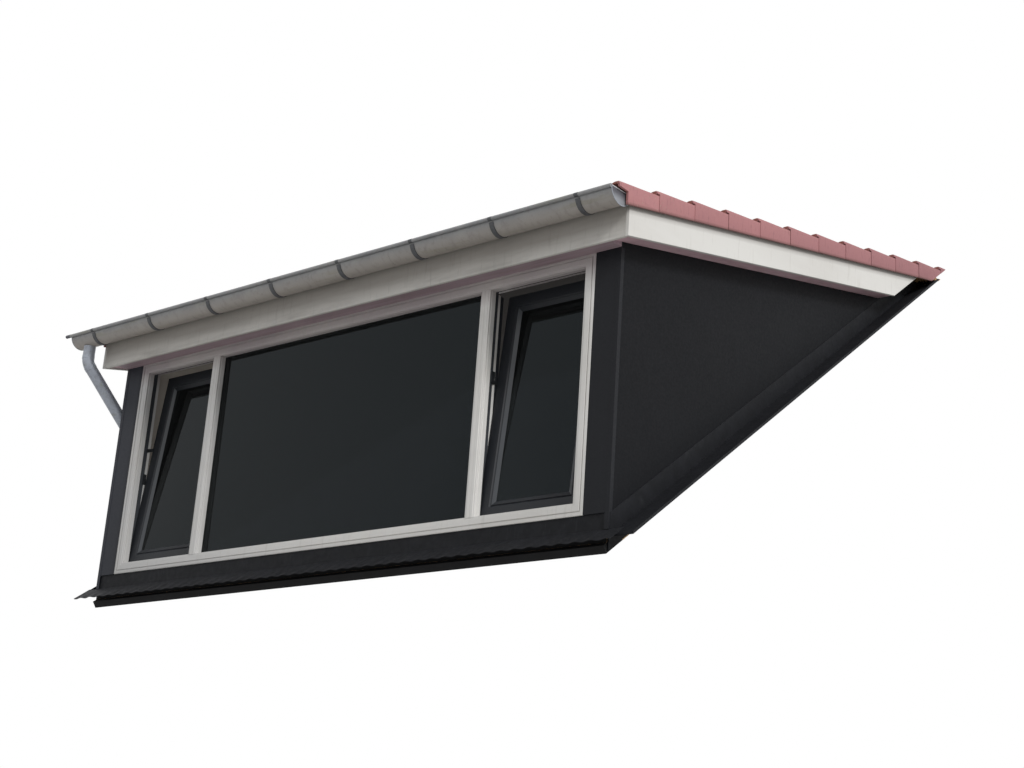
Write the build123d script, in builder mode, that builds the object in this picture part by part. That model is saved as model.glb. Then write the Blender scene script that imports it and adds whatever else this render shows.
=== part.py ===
# A wide shed dormer window for a pitched tiled roof: a white three-light window between dark
# cheeks, under a low clay-tiled roof with verge tiles, bargeboards, a half-round gutter and a
# bent downpipe. It stands on sole plates that lie on the boarding of the house roof.
# Millimetres. +X runs along the window, +Y into the house and +Z up. The origin lies on the
# sloping underside of the front sole plate, at the middle of its length and width.

import os
from math import atan2, ceil, cos, degrees, radians, sin, tan

from build123d import *

os.makedirs("parts", exist_ok=True)

# Slopes of the house roof, the dormer roof and each tile on it
main_pitch = 36.5
dormer_pitch = 12.85
tile_tilt = 4.0

# Window: a frame with three lights, the outer two with sashes tilted inwards
front_y = -72.0
sill_z = 163.0
frame_width = 3850.0
frame_height = 1447.0
frame_depth = 115.0
frame_face = 70.0
mullion_face = 68.0
mullion_place = 1152.0
reveal_depth = 50.0
rebate = 20.0
sill_groove_height = 22.0
sill_groove = 4.0
glass_thickness = 28.0
glass_cover = 15.0
sash_gap = 5.0
sash_thickness = 64.0
sash_rail = 90.0
sash_tilt = 5.6
hinge_radius = 8.0
hinge_length = 90.0
hinge_leaf_height = 40.0
hinge_leaf = 3.0
hinge_inset = 110.0
stay_width = 22.0
stay_height = 829.0
handle_plate = (28.0, 120.0, 10.0)
handle_stem = 9.0
handle_lever = (18.0, 115.0, 14.0)
handle_reach = 38.0

# Walls
panel_thickness = 10.0
cheek_core = 144.0
lining_thickness = 12.0
front_wall_thickness = 100.0
plate_thickness = 45.0
front_plate_width = 160.0
ledger_width = 380.0
ledger_lead = 20.0
cladding_foot = 10.0

# Dormer roof, measured square to its slope from the underside of the rafters
rafter_seat = 78.0
rafter_depth = 120.0
rafter_width = 45.0
rafter_spacing = 650.0
deck_thickness = 18.0
batten_depth = 25.0
batten_width = 38.0
ceiling_thickness = 12.0
front_overhang = 120.0
side_overhang = 130.0
fascia_thickness = 18.0
fascia_drop = 17.0
soffit_rise = 10.0
soffit_thickness = 10.0
bargeboard_thickness = 20.0
bargeboard_clearance = 178.0

# Roof tiles
tile_gauge = 346.0
tile_length = 420.0
tile_nose_overhang = 132.0
tile_plane = 213.5
tile_nib = (15.0, 22.0)
verge_width = 215.0
verge_gap = 12.0
verge_flange = 14.0
verge_drop = 121.5
verge_notch = 79.0
main_tile_plane = 100.0
tile_tuck = 50.0

# Gutter and downpipe
gutter_radius = 75.0
gutter_wall = 2.0
gutter_bead = 11.5
gutter_bead_sink = 2.5
gutter_bead_reach = 43.0
gutter_rim_rise = 25.0
gutter_left_reach = 184.0
gutter_joint = 600.0
gutter_cap = 2.0
gutter_cap_lip = 8.0
gutter_cap_lap = 1.5
bracket_strap = 4.0
bracket_width = 30.0
bracket_count = 8
bracket_spacing = 593.0
bracket_start = -2155.0
bracket_plate = 24.0
bracket_front_angle = 14.0
pipe_radius = 40.0
pipe_wall = 2.0
outlet_from_end = 120.0
outlet_drop = 75.0
spigot_length = 40.0
pipe_bend_drop = 192.0
pipe_bend_radius = 110.0
pipe_standoff = 29.0
pipe_back_run = 323.0
pipe_side_run = 1000.0
pipe_slope = 52.7
pipe_foot_clearance = 12.0
clip_width = 25.0
clip_thickness = 3.0
clip_stem = 6.0
clip_places = (160.0, 640.0)

# Flashings
lead = 3.0
apron_reach = 110.0
apron_side = 90.0
tray_width = 150.0
tray_height = 68.0
tray_upstand = 102.0
tray_edge = 15.0

# Derived places
half_frame = frame_width / 2
cheek_inner = half_frame
core_inner = cheek_inner + lining_thickness
core_outer = core_inner + cheek_core
cheek_outer = core_outer + panel_thickness
roof_half = cheek_outer + side_overhang
board_inner = roof_half - bargeboard_thickness
rear_y = front_y + frame_depth
core_front = front_y + panel_thickness
wall_rear = core_front + front_wall_thickness
frame_top = sill_z + frame_height
light_bottom = sill_z + frame_face
light_top = frame_top - frame_face
rebate_y = front_y + reveal_depth
rebate_bottom = light_bottom - rebate
rebate_top = light_top + rebate
fascia_front = front_y - front_overhang
fascia_back = fascia_front + fascia_thickness
fascia_bottom = frame_top - fascia_drop
seat_z = frame_top + rafter_seat
deck_base = rafter_depth
batten_base = deck_base + deck_thickness
batten_top = batten_base + batten_depth
tile_thickness = tile_gauge * tan(radians(tile_tilt))
house_roof = Plane(
    origin=(0, 0, 0),
    x_dir=(1, 0, 0),
    z_dir=(0, -sin(radians(main_pitch)), cos(radians(main_pitch))),
)
dormer_roof = Plane(
    origin=(0, front_y, seat_z),
    x_dir=(1, 0, 0),
    z_dir=(0, -sin(radians(dormer_pitch)), cos(radians(dormer_pitch))),
)


def house_z(y, rise):
    # height of a plane that lies rise above the boarding of the house roof
    return y * tan(radians(main_pitch)) + rise / cos(radians(main_pitch))


def roof_z(y, rise):
    # height of a plane that lies rise above the underside of the dormer's rafters
    slope = radians(dormer_pitch)
    return seat_z + (y - front_y) * tan(slope) + rise / cos(slope)


def meeting_y(rise_roof, rise_house):
    # where a plane of the dormer roof runs into a plane of the house roof
    gap = roof_z(0, rise_roof) - house_z(0, rise_house)
    return gap / (tan(radians(main_pitch)) - tan(radians(dormer_pitch)))


def on_roof(along, rise):
    # from places along and square to the dormer's slope to y and z
    slope = radians(dormer_pitch)
    y = front_y + along * cos(slope) - rise * sin(slope)
    return (y, seat_z + along * sin(slope) + rise * cos(slope))


def save(part, name):
    part.label = name
    export_step(part, f"parts/{name}.step")


def side_slab(points, start, thickness):
    # an outline in the YZ plane, thickened along X from start
    with BuildPart() as slab:
        with BuildSketch(Plane.YZ.offset(start)):
            Polygon(*points, align=None)
        extrude(amount=thickness)
    return slab.part


def both_sides(part):
    # a right-hand piece and its mirror image, as one pair
    with BuildPart() as pair:
        add(part)
        mirror(about=Plane.YZ)
    return pair.part


def save_pair(part, name):
    # the right-hand piece and its mirror image as two nodes
    save(part, f"right_{name}")
    save(mirror(part, about=Plane.YZ), f"left_{name}")


# Sole plates, flat on the house roof's boarding

apex_y = meeting_y(0, plate_thickness)
ledger_start = apex_y / cos(radians(main_pitch)) - ledger_lead

with BuildPart() as front_sole_plate:
    with BuildSketch(house_roof):
        Rectangle(2 * core_outer, front_plate_width)
    extrude(amount=plate_thickness)
save(front_sole_plate.part, "front_sole_plate")

with BuildPart() as side_sole_plate:
    side_length = ledger_start - front_plate_width / 2
    with BuildSketch(house_roof):
        with Locations(((cheek_inner + core_outer) / 2, front_plate_width / 2 + side_length / 2)):
            Rectangle(core_outer - cheek_inner, side_length)
    extrude(amount=plate_thickness)
save(both_sides(side_sole_plate.part), "side_sole_plates")

with BuildPart() as rear_ledger:
    with BuildSketch(house_roof):
        with Locations((0, ledger_start + ledger_width / 2)):
            Rectangle(2 * core_outer, ledger_width)
    extrude(amount=plate_thickness)
save(rear_ledger.part, "rear_ledger")


# Walls

front_wall_outline = [
    (core_front, house_z(core_front, plate_thickness)),
    (wall_rear, house_z(wall_rear, plate_thickness)),
    (wall_rear, sill_z),
    (core_front, sill_z),
]
save(side_slab(front_wall_outline, -cheek_inner, frame_width), "front_wall")

cheek_outline = [
    (core_front, house_z(core_front, plate_thickness)),
    (apex_y, house_z(apex_y, plate_thickness)),
    (core_front, roof_z(core_front, 0)),
]
save_pair(side_slab(cheek_outline, core_inner, cheek_core), "cheek_wall")
save(both_sides(side_slab(cheek_outline, cheek_inner, lining_thickness)), "cheek_linings")

cladding_apex = meeting_y(0, cladding_foot)
cladding_outline = [
    (core_front, house_z(core_front, cladding_foot)),
    (cladding_apex, house_z(cladding_apex, cladding_foot)),
    (core_front, roof_z(core_front, 0)),
]
save(both_sides(side_slab(cladding_outline, core_outer, panel_thickness)), "cheek_cladding")

with BuildPart() as corner_panel:
    with BuildSketch(Plane.XZ.offset(-front_y)):
        with Locations((cheek_inner, sill_z)):
            Rectangle(cheek_outer - cheek_inner, seat_z - sill_z, align=(Align.MIN, Align.MIN))
    extrude(amount=-panel_thickness)
save(both_sides(corner_panel.part), "corner_panels")

head_beam_outline = [
    (core_front, frame_top),
    (wall_rear, frame_top),
    (wall_rear, roof_z(wall_rear, 0)),
    (core_front, roof_z(core_front, 0)),
]
save(side_slab(head_beam_outline, -cheek_inner, frame_width), "head_beam")


# Window frame: every member is an outer lip with a narrower part behind it for the rebate

def frame_bar(outer, inner, lip_inner):
    # outline in (y, z): from the outer edge in to the lip, stepped back at the rebate
    return [(front_y, outer), (rear_y, outer), (rear_y, inner), (rebate_y, inner),
            (rebate_y, lip_inner), (front_y, lip_inner)]


with BuildPart() as frame_sill:
    add(side_slab(frame_bar(sill_z, rebate_bottom, light_bottom), -half_frame, frame_width))
    with BuildSketch(Plane.YZ.offset(-half_frame)):
        with Locations((front_y, sill_z + sill_groove_height)):
            Rectangle(2 * sill_groove, sill_groove)
    extrude(amount=frame_width, mode=Mode.SUBTRACT)
save(frame_sill.part, "frame_sill")

save(side_slab(frame_bar(frame_top, rebate_top, light_top), -half_frame, frame_width), "frame_head")


def upright(left_lip, left_stop, right_stop, right_lip):
    # a jamb or mullion between sill and head: its lip, and the part behind, housed at both ends
    corner = (Align.MIN, Align.MIN)
    with BuildPart() as bar:
        with BuildSketch(Plane.XZ.offset(-front_y)):
            with Locations((left_lip, light_bottom)):
                Rectangle(right_lip - left_lip, light_top - light_bottom, align=corner)
        extrude(amount=-reveal_depth)
        with BuildSketch(Plane.XZ.offset(-rebate_y)):
            with Locations((left_stop, rebate_bottom)):
                Rectangle(right_stop - left_stop, rebate_top - rebate_bottom, align=corner)
        extrude(amount=reveal_depth - frame_depth)
    return bar.part


jamb_lip = half_frame - frame_face
jamb_stop = jamb_lip + rebate
save(both_sides(upright(jamb_lip, jamb_stop, half_frame, half_frame)), "frame_jambs")

mullion_lip_in = mullion_place - mullion_face / 2
mullion_lip_out = mullion_place + mullion_face / 2
mullion_stop_in = mullion_lip_in + rebate
mullion_stop_out = mullion_lip_out - rebate
mullion = upright(mullion_lip_in, mullion_stop_in, mullion_stop_out, mullion_lip_out)
save(both_sides(mullion), "mullions")


# Centre light: a fixed pane behind the lips, held by beads from inside

pane_half = mullion_lip_in + glass_cover
pane_bottom = light_bottom - glass_cover
pane_top = light_top + glass_cover
bead_back = frame_depth - reveal_depth - glass_thickness - rebate

with BuildPart() as centre_glass:
    with BuildSketch(Plane.XZ.offset(-rebate_y)):
        with Locations((0, (pane_bottom + pane_top) / 2)):
            Rectangle(2 * pane_half, pane_top - pane_bottom)
    extrude(amount=-glass_thickness)
save(centre_glass.part, "centre_glass")

with BuildPart() as centre_beads:
    with BuildSketch(Plane.XZ.offset(-rebate_y - glass_thickness)):
        with Locations((0, (rebate_bottom + rebate_top) / 2)):
            Rectangle(2 * mullion_stop_in, rebate_top - rebate_bottom)
            Rectangle(2 * mullion_lip_in, light_top - light_bottom, mode=Mode.SUBTRACT)
    extrude(amount=bead_back - (frame_depth - reveal_depth - glass_thickness))
save(centre_beads.part, "centre_beads")


# Side lights: each sash is hinged along its bottom edge and stands tilted into the room.
# Its plane starts at the hinge axis, with local Y up the sash and local Z out of the window.

hinge_y = rear_y + hinge_radius
hinge_z = rebate_bottom + sash_gap / 2
sash_plane = Plane(
    origin=(0, hinge_y, hinge_z),
    x_dir=(1, 0, 0),
    z_dir=(0, -cos(radians(sash_tilt)), sin(radians(sash_tilt))),
)
sash_left = mullion_stop_out + sash_gap
sash_right = jamb_stop - sash_gap
sash_width = sash_right - sash_left
sash_middle = (sash_left + sash_right) / 2
sash_bottom = sash_gap / 2
sash_height = rebate_top - rebate_bottom - 2 * sash_gap
sash_centre = (sash_middle, sash_bottom + sash_height / 2)

with BuildPart() as sash:
    with BuildSketch(sash_plane.offset(hinge_radius)):
        with Locations(sash_centre):
            Rectangle(sash_width, sash_height)
            Rectangle(sash_width - 2 * sash_rail, sash_height - 2 * sash_rail, mode=Mode.SUBTRACT)
    extrude(amount=sash_thickness)
save_pair(sash.part, "sash")

with BuildPart() as sash_glass:
    glass_inset = hinge_radius + (sash_thickness - glass_thickness) / 2
    with BuildSketch(sash_plane.offset(glass_inset)):
        with Locations(sash_centre):
            Rectangle(sash_width - 2 * sash_rail, sash_height - 2 * sash_rail)
    extrude(amount=glass_thickness)
save(both_sides(sash_glass.part), "sash_glass")


def hinge(spot_x):
    # a knuckle on the axis, with a leaf down the frame and a leaf up the sash
    with BuildPart() as fitting:
        with BuildSketch(Plane.YZ.offset(spot_x - hinge_length / 2)):
            with Locations((hinge_y, hinge_z)):
                Circle(hinge_radius)
            with Locations((rear_y, hinge_z)):
                Rectangle(hinge_leaf, hinge_leaf_height, align=(Align.MIN, Align.MAX))
        extrude(amount=hinge_length)
        with BuildSketch(sash_plane.offset(hinge_radius - hinge_leaf)):
            with Locations((spot_x, 0)):
                Rectangle(hinge_length, hinge_leaf_height, align=(Align.CENTER, Align.MIN))
        extrude(amount=hinge_leaf)
    return fitting.part


with BuildPart() as hinges:
    for spot_x in (sash_left + hinge_inset, sash_right - hinge_inset):
        add(hinge(spot_x))
save(both_sides(hinges.part), "sash_hinges")


def sash_point(up, out):
    # y and z of a place on the sash, from the hinge axis up it and out of the window
    tilt = radians(sash_tilt)
    return (hinge_y + up * sin(tilt) - out * cos(tilt), hinge_z + up * cos(tilt) + out * sin(tilt))


with BuildPart() as stays:
    # flat arms in the gaps beside each stile, from the frame's rebate to the leaning sash
    stay_foot = (rear_y - stay_width, sash_point(stay_height, 0)[1] - stay_width)
    stay_head = sash_point(stay_height, hinge_radius + stay_width)
    stay_angle = degrees(atan2(stay_head[1] - stay_foot[1], stay_head[0] - stay_foot[0]))
    stay_reach = ((stay_head[0] - stay_foot[0]) ** 2 + (stay_head[1] - stay_foot[1]) ** 2) ** 0.5
    stay_middle = ((stay_foot[0] + stay_head[0]) / 2, (stay_foot[1] + stay_head[1]) / 2)
    for stay_x in (sash_left - sash_gap, sash_right):
        with BuildSketch(Plane.YZ.offset(stay_x)):
            with Locations(Location(stay_middle, stay_angle)):
                SlotCenterToCenter(stay_reach, stay_width)
        extrude(amount=sash_gap)
save(both_sides(stays.part), "sash_stays")


def handle(stile_x):
    # a plate on the room side of a stile at mid height, with a stem and a lever hanging down
    plate_width, plate_height, plate_depth = handle_plate
    lever_width, lever_length, lever_depth = handle_lever
    spot = (stile_x, sash_bottom + sash_height / 2)
    plate_back = hinge_radius - plate_depth
    with BuildPart() as grip:
        with BuildSketch(sash_plane.offset(hinge_radius)):
            with Locations(spot):
                SlotCenterToCenter(plate_height - plate_width, plate_width, rotation=90)
        extrude(amount=-plate_depth)
        with BuildSketch(sash_plane.offset(plate_back)):
            with Locations(spot):
                Circle(handle_stem)
        extrude(amount=-handle_reach)
        with BuildSketch(sash_plane.offset(plate_back - handle_reach)):
            with Locations((spot[0], spot[1] - lever_length / 2)):
                SlotCenterToCenter(lever_length, lever_width, rotation=90)
        extrude(amount=lever_depth)
    return grip.part


with BuildPart() as handles:
    add(handle(sash_left + sash_rail / 2))
    add(handle(sash_rail / 2 - sash_right))
save(handles.part, "sash_handles")


# Dormer roof: rafters, boarding, battens and ceiling, all cut off along the house roof

def rafter(start, width, foot, front, house_rise):
    # a rafter with a plumb front end and a rear end that lies on a plane of the house roof
    low = meeting_y(foot, house_rise)
    high = meeting_y(rafter_depth, house_rise)
    outline = [
        (front, roof_z(front, foot)),
        (low, roof_z(low, foot)),
        (high, roof_z(high, rafter_depth)),
        (front, roof_z(front, rafter_depth)),
    ]
    return side_slab(outline, start, width)


soffit_drop = seat_z - front_overhang * tan(radians(dormer_pitch)) - fascia_bottom - soffit_rise
soffit_base = -soffit_drop * cos(radians(dormer_pitch))
soffit_top = soffit_base + soffit_thickness
cheek_rafter = (core_inner + core_outer - rafter_width) / 2
inner_rafters = [spot * rafter_spacing - rafter_width / 2 for spot in (-2, -1, 0, 1, 2)]
with BuildPart() as roof_rafters:
    for spot in inner_rafters + [cheek_rafter, -cheek_rafter - rafter_width]:
        add(rafter(spot, rafter_width, 0, fascia_back, plate_thickness))
    verge_block = rafter(cheek_outer, board_inner - cheek_outer, soffit_top, fascia_back,
                         bargeboard_clearance)
    add(verge_block)
    add(mirror(verge_block, about=Plane.YZ, mode=Mode.PRIVATE))
save(roof_rafters.part, "roof_rafters")

ceiling_end = meeting_y(-ceiling_thickness, plate_thickness)
ceiling_outline = [
    (wall_rear, roof_z(wall_rear, -ceiling_thickness)),
    (ceiling_end, roof_z(ceiling_end, -ceiling_thickness)),
    (apex_y, roof_z(apex_y, 0)),
    (wall_rear, roof_z(wall_rear, 0)),
]
save(side_slab(ceiling_outline, -cheek_inner, frame_width), "ceiling_panel")

deck_low_end = meeting_y(deck_base, plate_thickness)
deck_high_end = meeting_y(batten_base, plate_thickness)
deck_outline = [
    (fascia_back, roof_z(fascia_back, deck_base)),
    (deck_low_end, roof_z(deck_low_end, deck_base)),
    (deck_high_end, roof_z(deck_high_end, batten_base)),
    (fascia_back, roof_z(fascia_back, batten_base)),
]
save(side_slab(deck_outline, -board_inner, 2 * board_inner), "roof_deck")


# Tiles: every course leans a little flatter than the roof and its nose lies on the one below

nose_start = (fascia_front - tile_nose_overhang - front_y) / cos(radians(dormer_pitch))
nose_start = nose_start + tile_plane * tan(radians(dormer_pitch))
tile_end = (meeting_y(tile_plane, tile_tuck) - front_y) / cos(radians(dormer_pitch))
course_count = ceil((tile_end - nose_start) / tile_gauge)
course_starts = [nose_start + tile_gauge * course for course in range(course_count)]
batten_rear = tile_plane - tile_thickness - batten_top
batten_rear = batten_rear / tan(radians(tile_tilt))


def leaning(start, along, below):
    # a place on a tile: along its top from the nose, and below that top
    return on_roof(start + along, tile_plane - along * tan(radians(tile_tilt)) - below)


def tile_outline(start):
    return [leaning(start, 0, 0), leaning(start, tile_length, 0),
            leaning(start, tile_length, tile_thickness), leaning(start, 0, tile_thickness)]


def nib_outline(start):
    # the hook under the head of a tile, against the upper edge of its batten
    nib_width, nib_depth = tile_nib
    foot = batten_top - nib_depth
    return [on_roof(start + batten_rear, foot), on_roof(start + batten_rear + nib_width, foot),
            leaning(start, batten_rear + nib_width, tile_thickness / 2),
            leaning(start, batten_rear, tile_thickness / 2)]


def flange_outline(start, length):
    # the flanges' lower edges make one line along the roof
    return [leaning(start, 0, 0), leaning(start, length, 0),
            on_roof(start + length, tile_plane - verge_drop), on_roof(start, tile_plane - verge_drop)]


def course_slab(outlines, start, width, house_rise):
    # the courses of a stretch of roof in one piece, cut off along the house roof
    with BuildPart() as courses:
        with BuildSketch(Plane.YZ.offset(start)):
            for outline in outlines:
                Polygon(*outline, align=None)
        extrude(amount=width)
        split(bisect_by=house_roof.offset(house_rise), keep=Keep.TOP)
    return courses.part


tile_outlines = [tile_outline(start) for start in course_starts]
nib_outlines = [nib_outline(start) for start in course_starts]
tiles_half = roof_half + verge_gap + verge_flange - verge_width
save(course_slab(tile_outlines + nib_outlines, -tiles_half, 2 * tiles_half, tile_tuck), "roof_tiles")


def verge_tiles(tops, flanges):
    # tiles along the right-hand verge, with their flanges turned down outside the bargeboard
    with BuildPart() as verge:
        add(course_slab(tops, tiles_half, verge_width - verge_flange, main_tile_plane))
        add(course_slab(flanges, roof_half + verge_gap, verge_flange, main_tile_plane))
    return verge.part


flange_outlines = [flange_outline(start, tile_gauge + verge_flange) for start in course_starts[1:]]
save_pair(verge_tiles(tile_outlines[1:] + nib_outlines[1:], flange_outlines), "verge_tiles")

# The gutter's rim lies a little above the boarding at the eaves, its back against the straps
rim_z = roof_z(fascia_front, batten_base) + gutter_rim_rise / 2
gutter_outer = gutter_radius + gutter_wall
gutter_y = fascia_front - bracket_strap - gutter_outer

# The first verge tiles are notched over the gutter, the left one more, as the gutter runs on there
eaves_tile = verge_tiles([tile_outlines[0], nib_outlines[0]], [flange_outline(nose_start, tile_gauge)])
nose_y = leaning(nose_start, 0, tile_thickness)[0]


def notched(tile, side, back_y):
    # the flange cut away from its nose back to back_y, up to a little over the gutter's rim
    with BuildPart() as cut_tile:
        add(tile)
        with BuildSketch(Plane.YZ.offset(side * (roof_half + verge_gap + verge_flange / 2))):
            with Locations((back_y, rim_z + bracket_strap)):
                Rectangle(3 * gutter_outer, 2 * verge_drop, align=(Align.MAX, Align.MAX))
        extrude(amount=verge_flange, both=True, mode=Mode.SUBTRACT)
    return cut_tile.part


with BuildPart() as eaves_verge_tiles:
    add(notched(eaves_tile, 1, nose_y + verge_notch))
    add(notched(mirror(eaves_tile, about=Plane.YZ, mode=Mode.PRIVATE), -1, fascia_front))
save(eaves_verge_tiles.part, "eaves_verge_tiles")

with BuildPart() as tile_battens:
    with BuildSketch(Plane.YZ.offset(-board_inner)):
        for start in course_starts[:-1]:
            batten_end = start + batten_rear
            Polygon(on_roof(batten_end - batten_width, batten_base), on_roof(batten_end, batten_base),
                    on_roof(batten_end, batten_top), on_roof(batten_end - batten_width, batten_top),
                    align=None)
    extrude(amount=2 * board_inner)
save(tile_battens.part, "tile_battens")


# Eaves and verges

def under_first_tile(y):
    # height of the underside of the first course at y
    near = leaning(nose_start, 0, tile_thickness)
    slope = tan(radians(dormer_pitch - tile_tilt))
    return near[1] + (y - near[0]) * slope


fascia_outline = [
    (fascia_front, fascia_bottom),
    (fascia_back, fascia_bottom),
    (fascia_back, under_first_tile(fascia_back)),
    (fascia_front, under_first_tile(fascia_front)),
]
save(side_slab(fascia_outline, -board_inner, 2 * board_inner), "front_fascia")

board_foot = soffit_base - soffit_rise * cos(radians(dormer_pitch))
board_low_end = meeting_y(board_foot, bargeboard_clearance)
board_high_end = meeting_y(batten_base, bargeboard_clearance)
board_outline = [
    (fascia_front, roof_z(fascia_front, board_foot)),
    (board_low_end, roof_z(board_low_end, board_foot)),
    (board_high_end, roof_z(board_high_end, batten_base)),
    (fascia_front, roof_z(fascia_front, batten_base)),
]
save(both_sides(side_slab(board_outline, board_inner, bargeboard_thickness)), "bargeboards")

soffit_z = fascia_bottom + soffit_rise
with BuildPart() as front_soffit:
    # a level board, with end pieces that rise to the sloping soffits beside it
    with BuildSketch(Plane.YZ.offset(-cheek_outer)):
        with Locations((fascia_back, soffit_z)):
            Rectangle(front_y - fascia_back, soffit_thickness, align=(Align.MIN, Align.MIN))
    extrude(amount=2 * cheek_outer)
    for start in (-cheek_outer, cheek_outer - soffit_thickness):
        with BuildSketch(Plane.YZ.offset(start)):
            Polygon((fascia_back, soffit_z), (front_y, soffit_z), (front_y, roof_z(front_y, soffit_top)),
                    (fascia_back, roof_z(fascia_back, soffit_top)), align=None)
        extrude(amount=soffit_thickness)
save(front_soffit.part, "front_soffit")

soffit_low_end = meeting_y(soffit_base, bargeboard_clearance)
soffit_high_end = meeting_y(soffit_top, bargeboard_clearance)
side_soffit_outline = [
    (fascia_back, roof_z(fascia_back, soffit_base)),
    (soffit_low_end, roof_z(soffit_low_end, soffit_base)),
    (soffit_high_end, roof_z(soffit_high_end, soffit_top)),
    (fascia_back, roof_z(fascia_back, soffit_top)),
]
save(both_sides(side_slab(side_soffit_outline, cheek_outer, board_inner - cheek_outer)), "side_soffits")


# Gutter: half round with a rolled front bead, in two lengths, with capped ends and an outlet
# near the left end

gutter_right = roof_half + gutter_cap
gutter_left = -roof_half - gutter_left_reach
outlet_x = gutter_left + outlet_from_end
outlet_radius = pipe_radius - pipe_wall
bead_y = gutter_y - gutter_radius - gutter_bead


def gutter_length(start, end):
    with BuildPart() as length:
        with BuildSketch(Plane.YZ.offset(start)):
            with Locations((gutter_y, rim_z)):
                Circle(gutter_outer)
                Circle(gutter_radius, mode=Mode.SUBTRACT)
                Rectangle(2 * gutter_outer, gutter_outer, align=(Align.CENTER, Align.MIN),
                          mode=Mode.SUBTRACT)
            with Locations((bead_y, rim_z - gutter_bead_sink)):
                Circle(gutter_bead)
        extrude(amount=end - start)
    return length.part


with BuildPart() as left_gutter:
    add(gutter_length(gutter_left + gutter_cap, gutter_joint))
    with BuildSketch(Plane.XY.offset(rim_z)):
        with Locations((outlet_x, gutter_y)):
            Circle(outlet_radius - pipe_wall)
    extrude(amount=-2 * gutter_outer, mode=Mode.SUBTRACT)
save(left_gutter.part, "left_gutter")
save(gutter_length(gutter_joint, gutter_right - gutter_cap), "right_gutter")

with BuildPart() as gutter_ends:
    # the end plates' edges stand out a little below the trough; the bead runs on past the left one
    for start, lip in ((gutter_left, gutter_cap_lap), (gutter_right - gutter_cap, gutter_cap_lip)):
        cap_radius = gutter_outer + lip
        with BuildSketch(Plane.YZ.offset(start)):
            with Locations((gutter_y, rim_z)):
                Circle(cap_radius)
                Rectangle(2 * cap_radius, cap_radius, align=(Align.CENTER, Align.MIN), mode=Mode.SUBTRACT)
        extrude(amount=gutter_cap)
    with BuildSketch(Plane.YZ.offset(gutter_left - gutter_bead_reach)):
        with Locations((bead_y, rim_z - gutter_bead_sink)):
            Circle(gutter_bead)
    extrude(amount=gutter_bead_reach + gutter_cap)
save(gutter_ends.part, "gutter_ends")

with BuildPart() as gutter_bracket:
    # a strap round the trough and a plate that is screwed to the fascia
    strap_outer = gutter_outer + bracket_strap
    with BuildSketch(Plane.YZ.offset(-bracket_width / 2)):
        with Locations((gutter_y, rim_z)):
            Circle(strap_outer)
            Circle(gutter_outer, mode=Mode.SUBTRACT)
            Rectangle(2 * strap_outer, strap_outer, align=(Align.CENTER, Align.MIN), mode=Mode.SUBTRACT)
        with Locations((gutter_y - strap_outer, rim_z)):
            Rectangle(strap_outer, 2 * strap_outer * sin(radians(bracket_front_angle)),
                      align=(Align.MIN, Align.CENTER), mode=Mode.SUBTRACT)
        with Locations((fascia_front, rim_z)):
            Rectangle(bracket_strap, bracket_plate, align=(Align.MAX, Align.MIN))
    extrude(amount=bracket_width)

with BuildPart() as gutter_brackets:
    for place in range(bracket_count):
        add(gutter_bracket.part.moved(Location((bracket_start + place * bracket_spacing, 0, 0))))
save(gutter_brackets.part, "gutter_brackets")

outlet_top = rim_z - gutter_outer
pipe_top = outlet_top - outlet_drop + spigot_length
with BuildPart() as gutter_outlet:
    # a stub under the trough, with a collar that the downpipe pushes up to
    with BuildSketch(Plane.XY.offset(rim_z - gutter_radius)):
        with Locations((outlet_x, gutter_y)):
            Circle(pipe_radius)
    extrude(amount=pipe_top - (rim_z - gutter_radius))
    with BuildSketch(Plane.XY.offset(pipe_top)):
        with Locations((outlet_x, gutter_y)):
            Circle(outlet_radius)
    extrude(amount=-spigot_length)
    with BuildSketch(Plane.XY.offset(rim_z)):
        with Locations((outlet_x, gutter_y)):
            Circle(outlet_radius - pipe_wall)
    extrude(amount=-3 * gutter_outer, mode=Mode.SUBTRACT)
    with BuildSketch(Plane.YZ.offset(outlet_x - 2 * pipe_radius)):
        with Locations((gutter_y, rim_z)):
            Circle(gutter_outer)
    extrude(amount=4 * pipe_radius, mode=Mode.SUBTRACT)
save(gutter_outlet.part, "gutter_outlet")

# The pipe drops, runs back towards the cheek, then slopes down along it to the house roof
pipe_x = -cheek_outer - pipe_standoff - pipe_radius
bend_z = rim_z - pipe_bend_drop
side_bend_z = bend_z - pipe_back_run * tan(radians(pipe_slope))
first_turn = (outlet_x, gutter_y, bend_z)
second_turn = (pipe_x, gutter_y + pipe_back_run, side_bend_z)


def along_cheek(distance):
    # a place on the pipe's axis, from its second turn down along the cheek
    slope = radians(pipe_slope)
    return (pipe_x, second_turn[1] + distance * cos(slope), second_turn[2] - distance * sin(slope))


with BuildPart() as downpipe:
    with BuildLine() as pipe_path:
        FilletPolyline((outlet_x, gutter_y, pipe_top), first_turn, second_turn,
                       along_cheek(pipe_side_run), radius=pipe_bend_radius)
    with BuildSketch(Plane.XY.offset(pipe_top)):
        with Locations((outlet_x, gutter_y)):
            Circle(pipe_radius)
            Circle(outlet_radius, mode=Mode.SUBTRACT)
    sweep(path=pipe_path.wires()[0])
    split(bisect_by=house_roof.offset(main_tile_plane + pipe_foot_clearance), keep=Keep.TOP)
save(downpipe.part, "downpipe")

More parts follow.
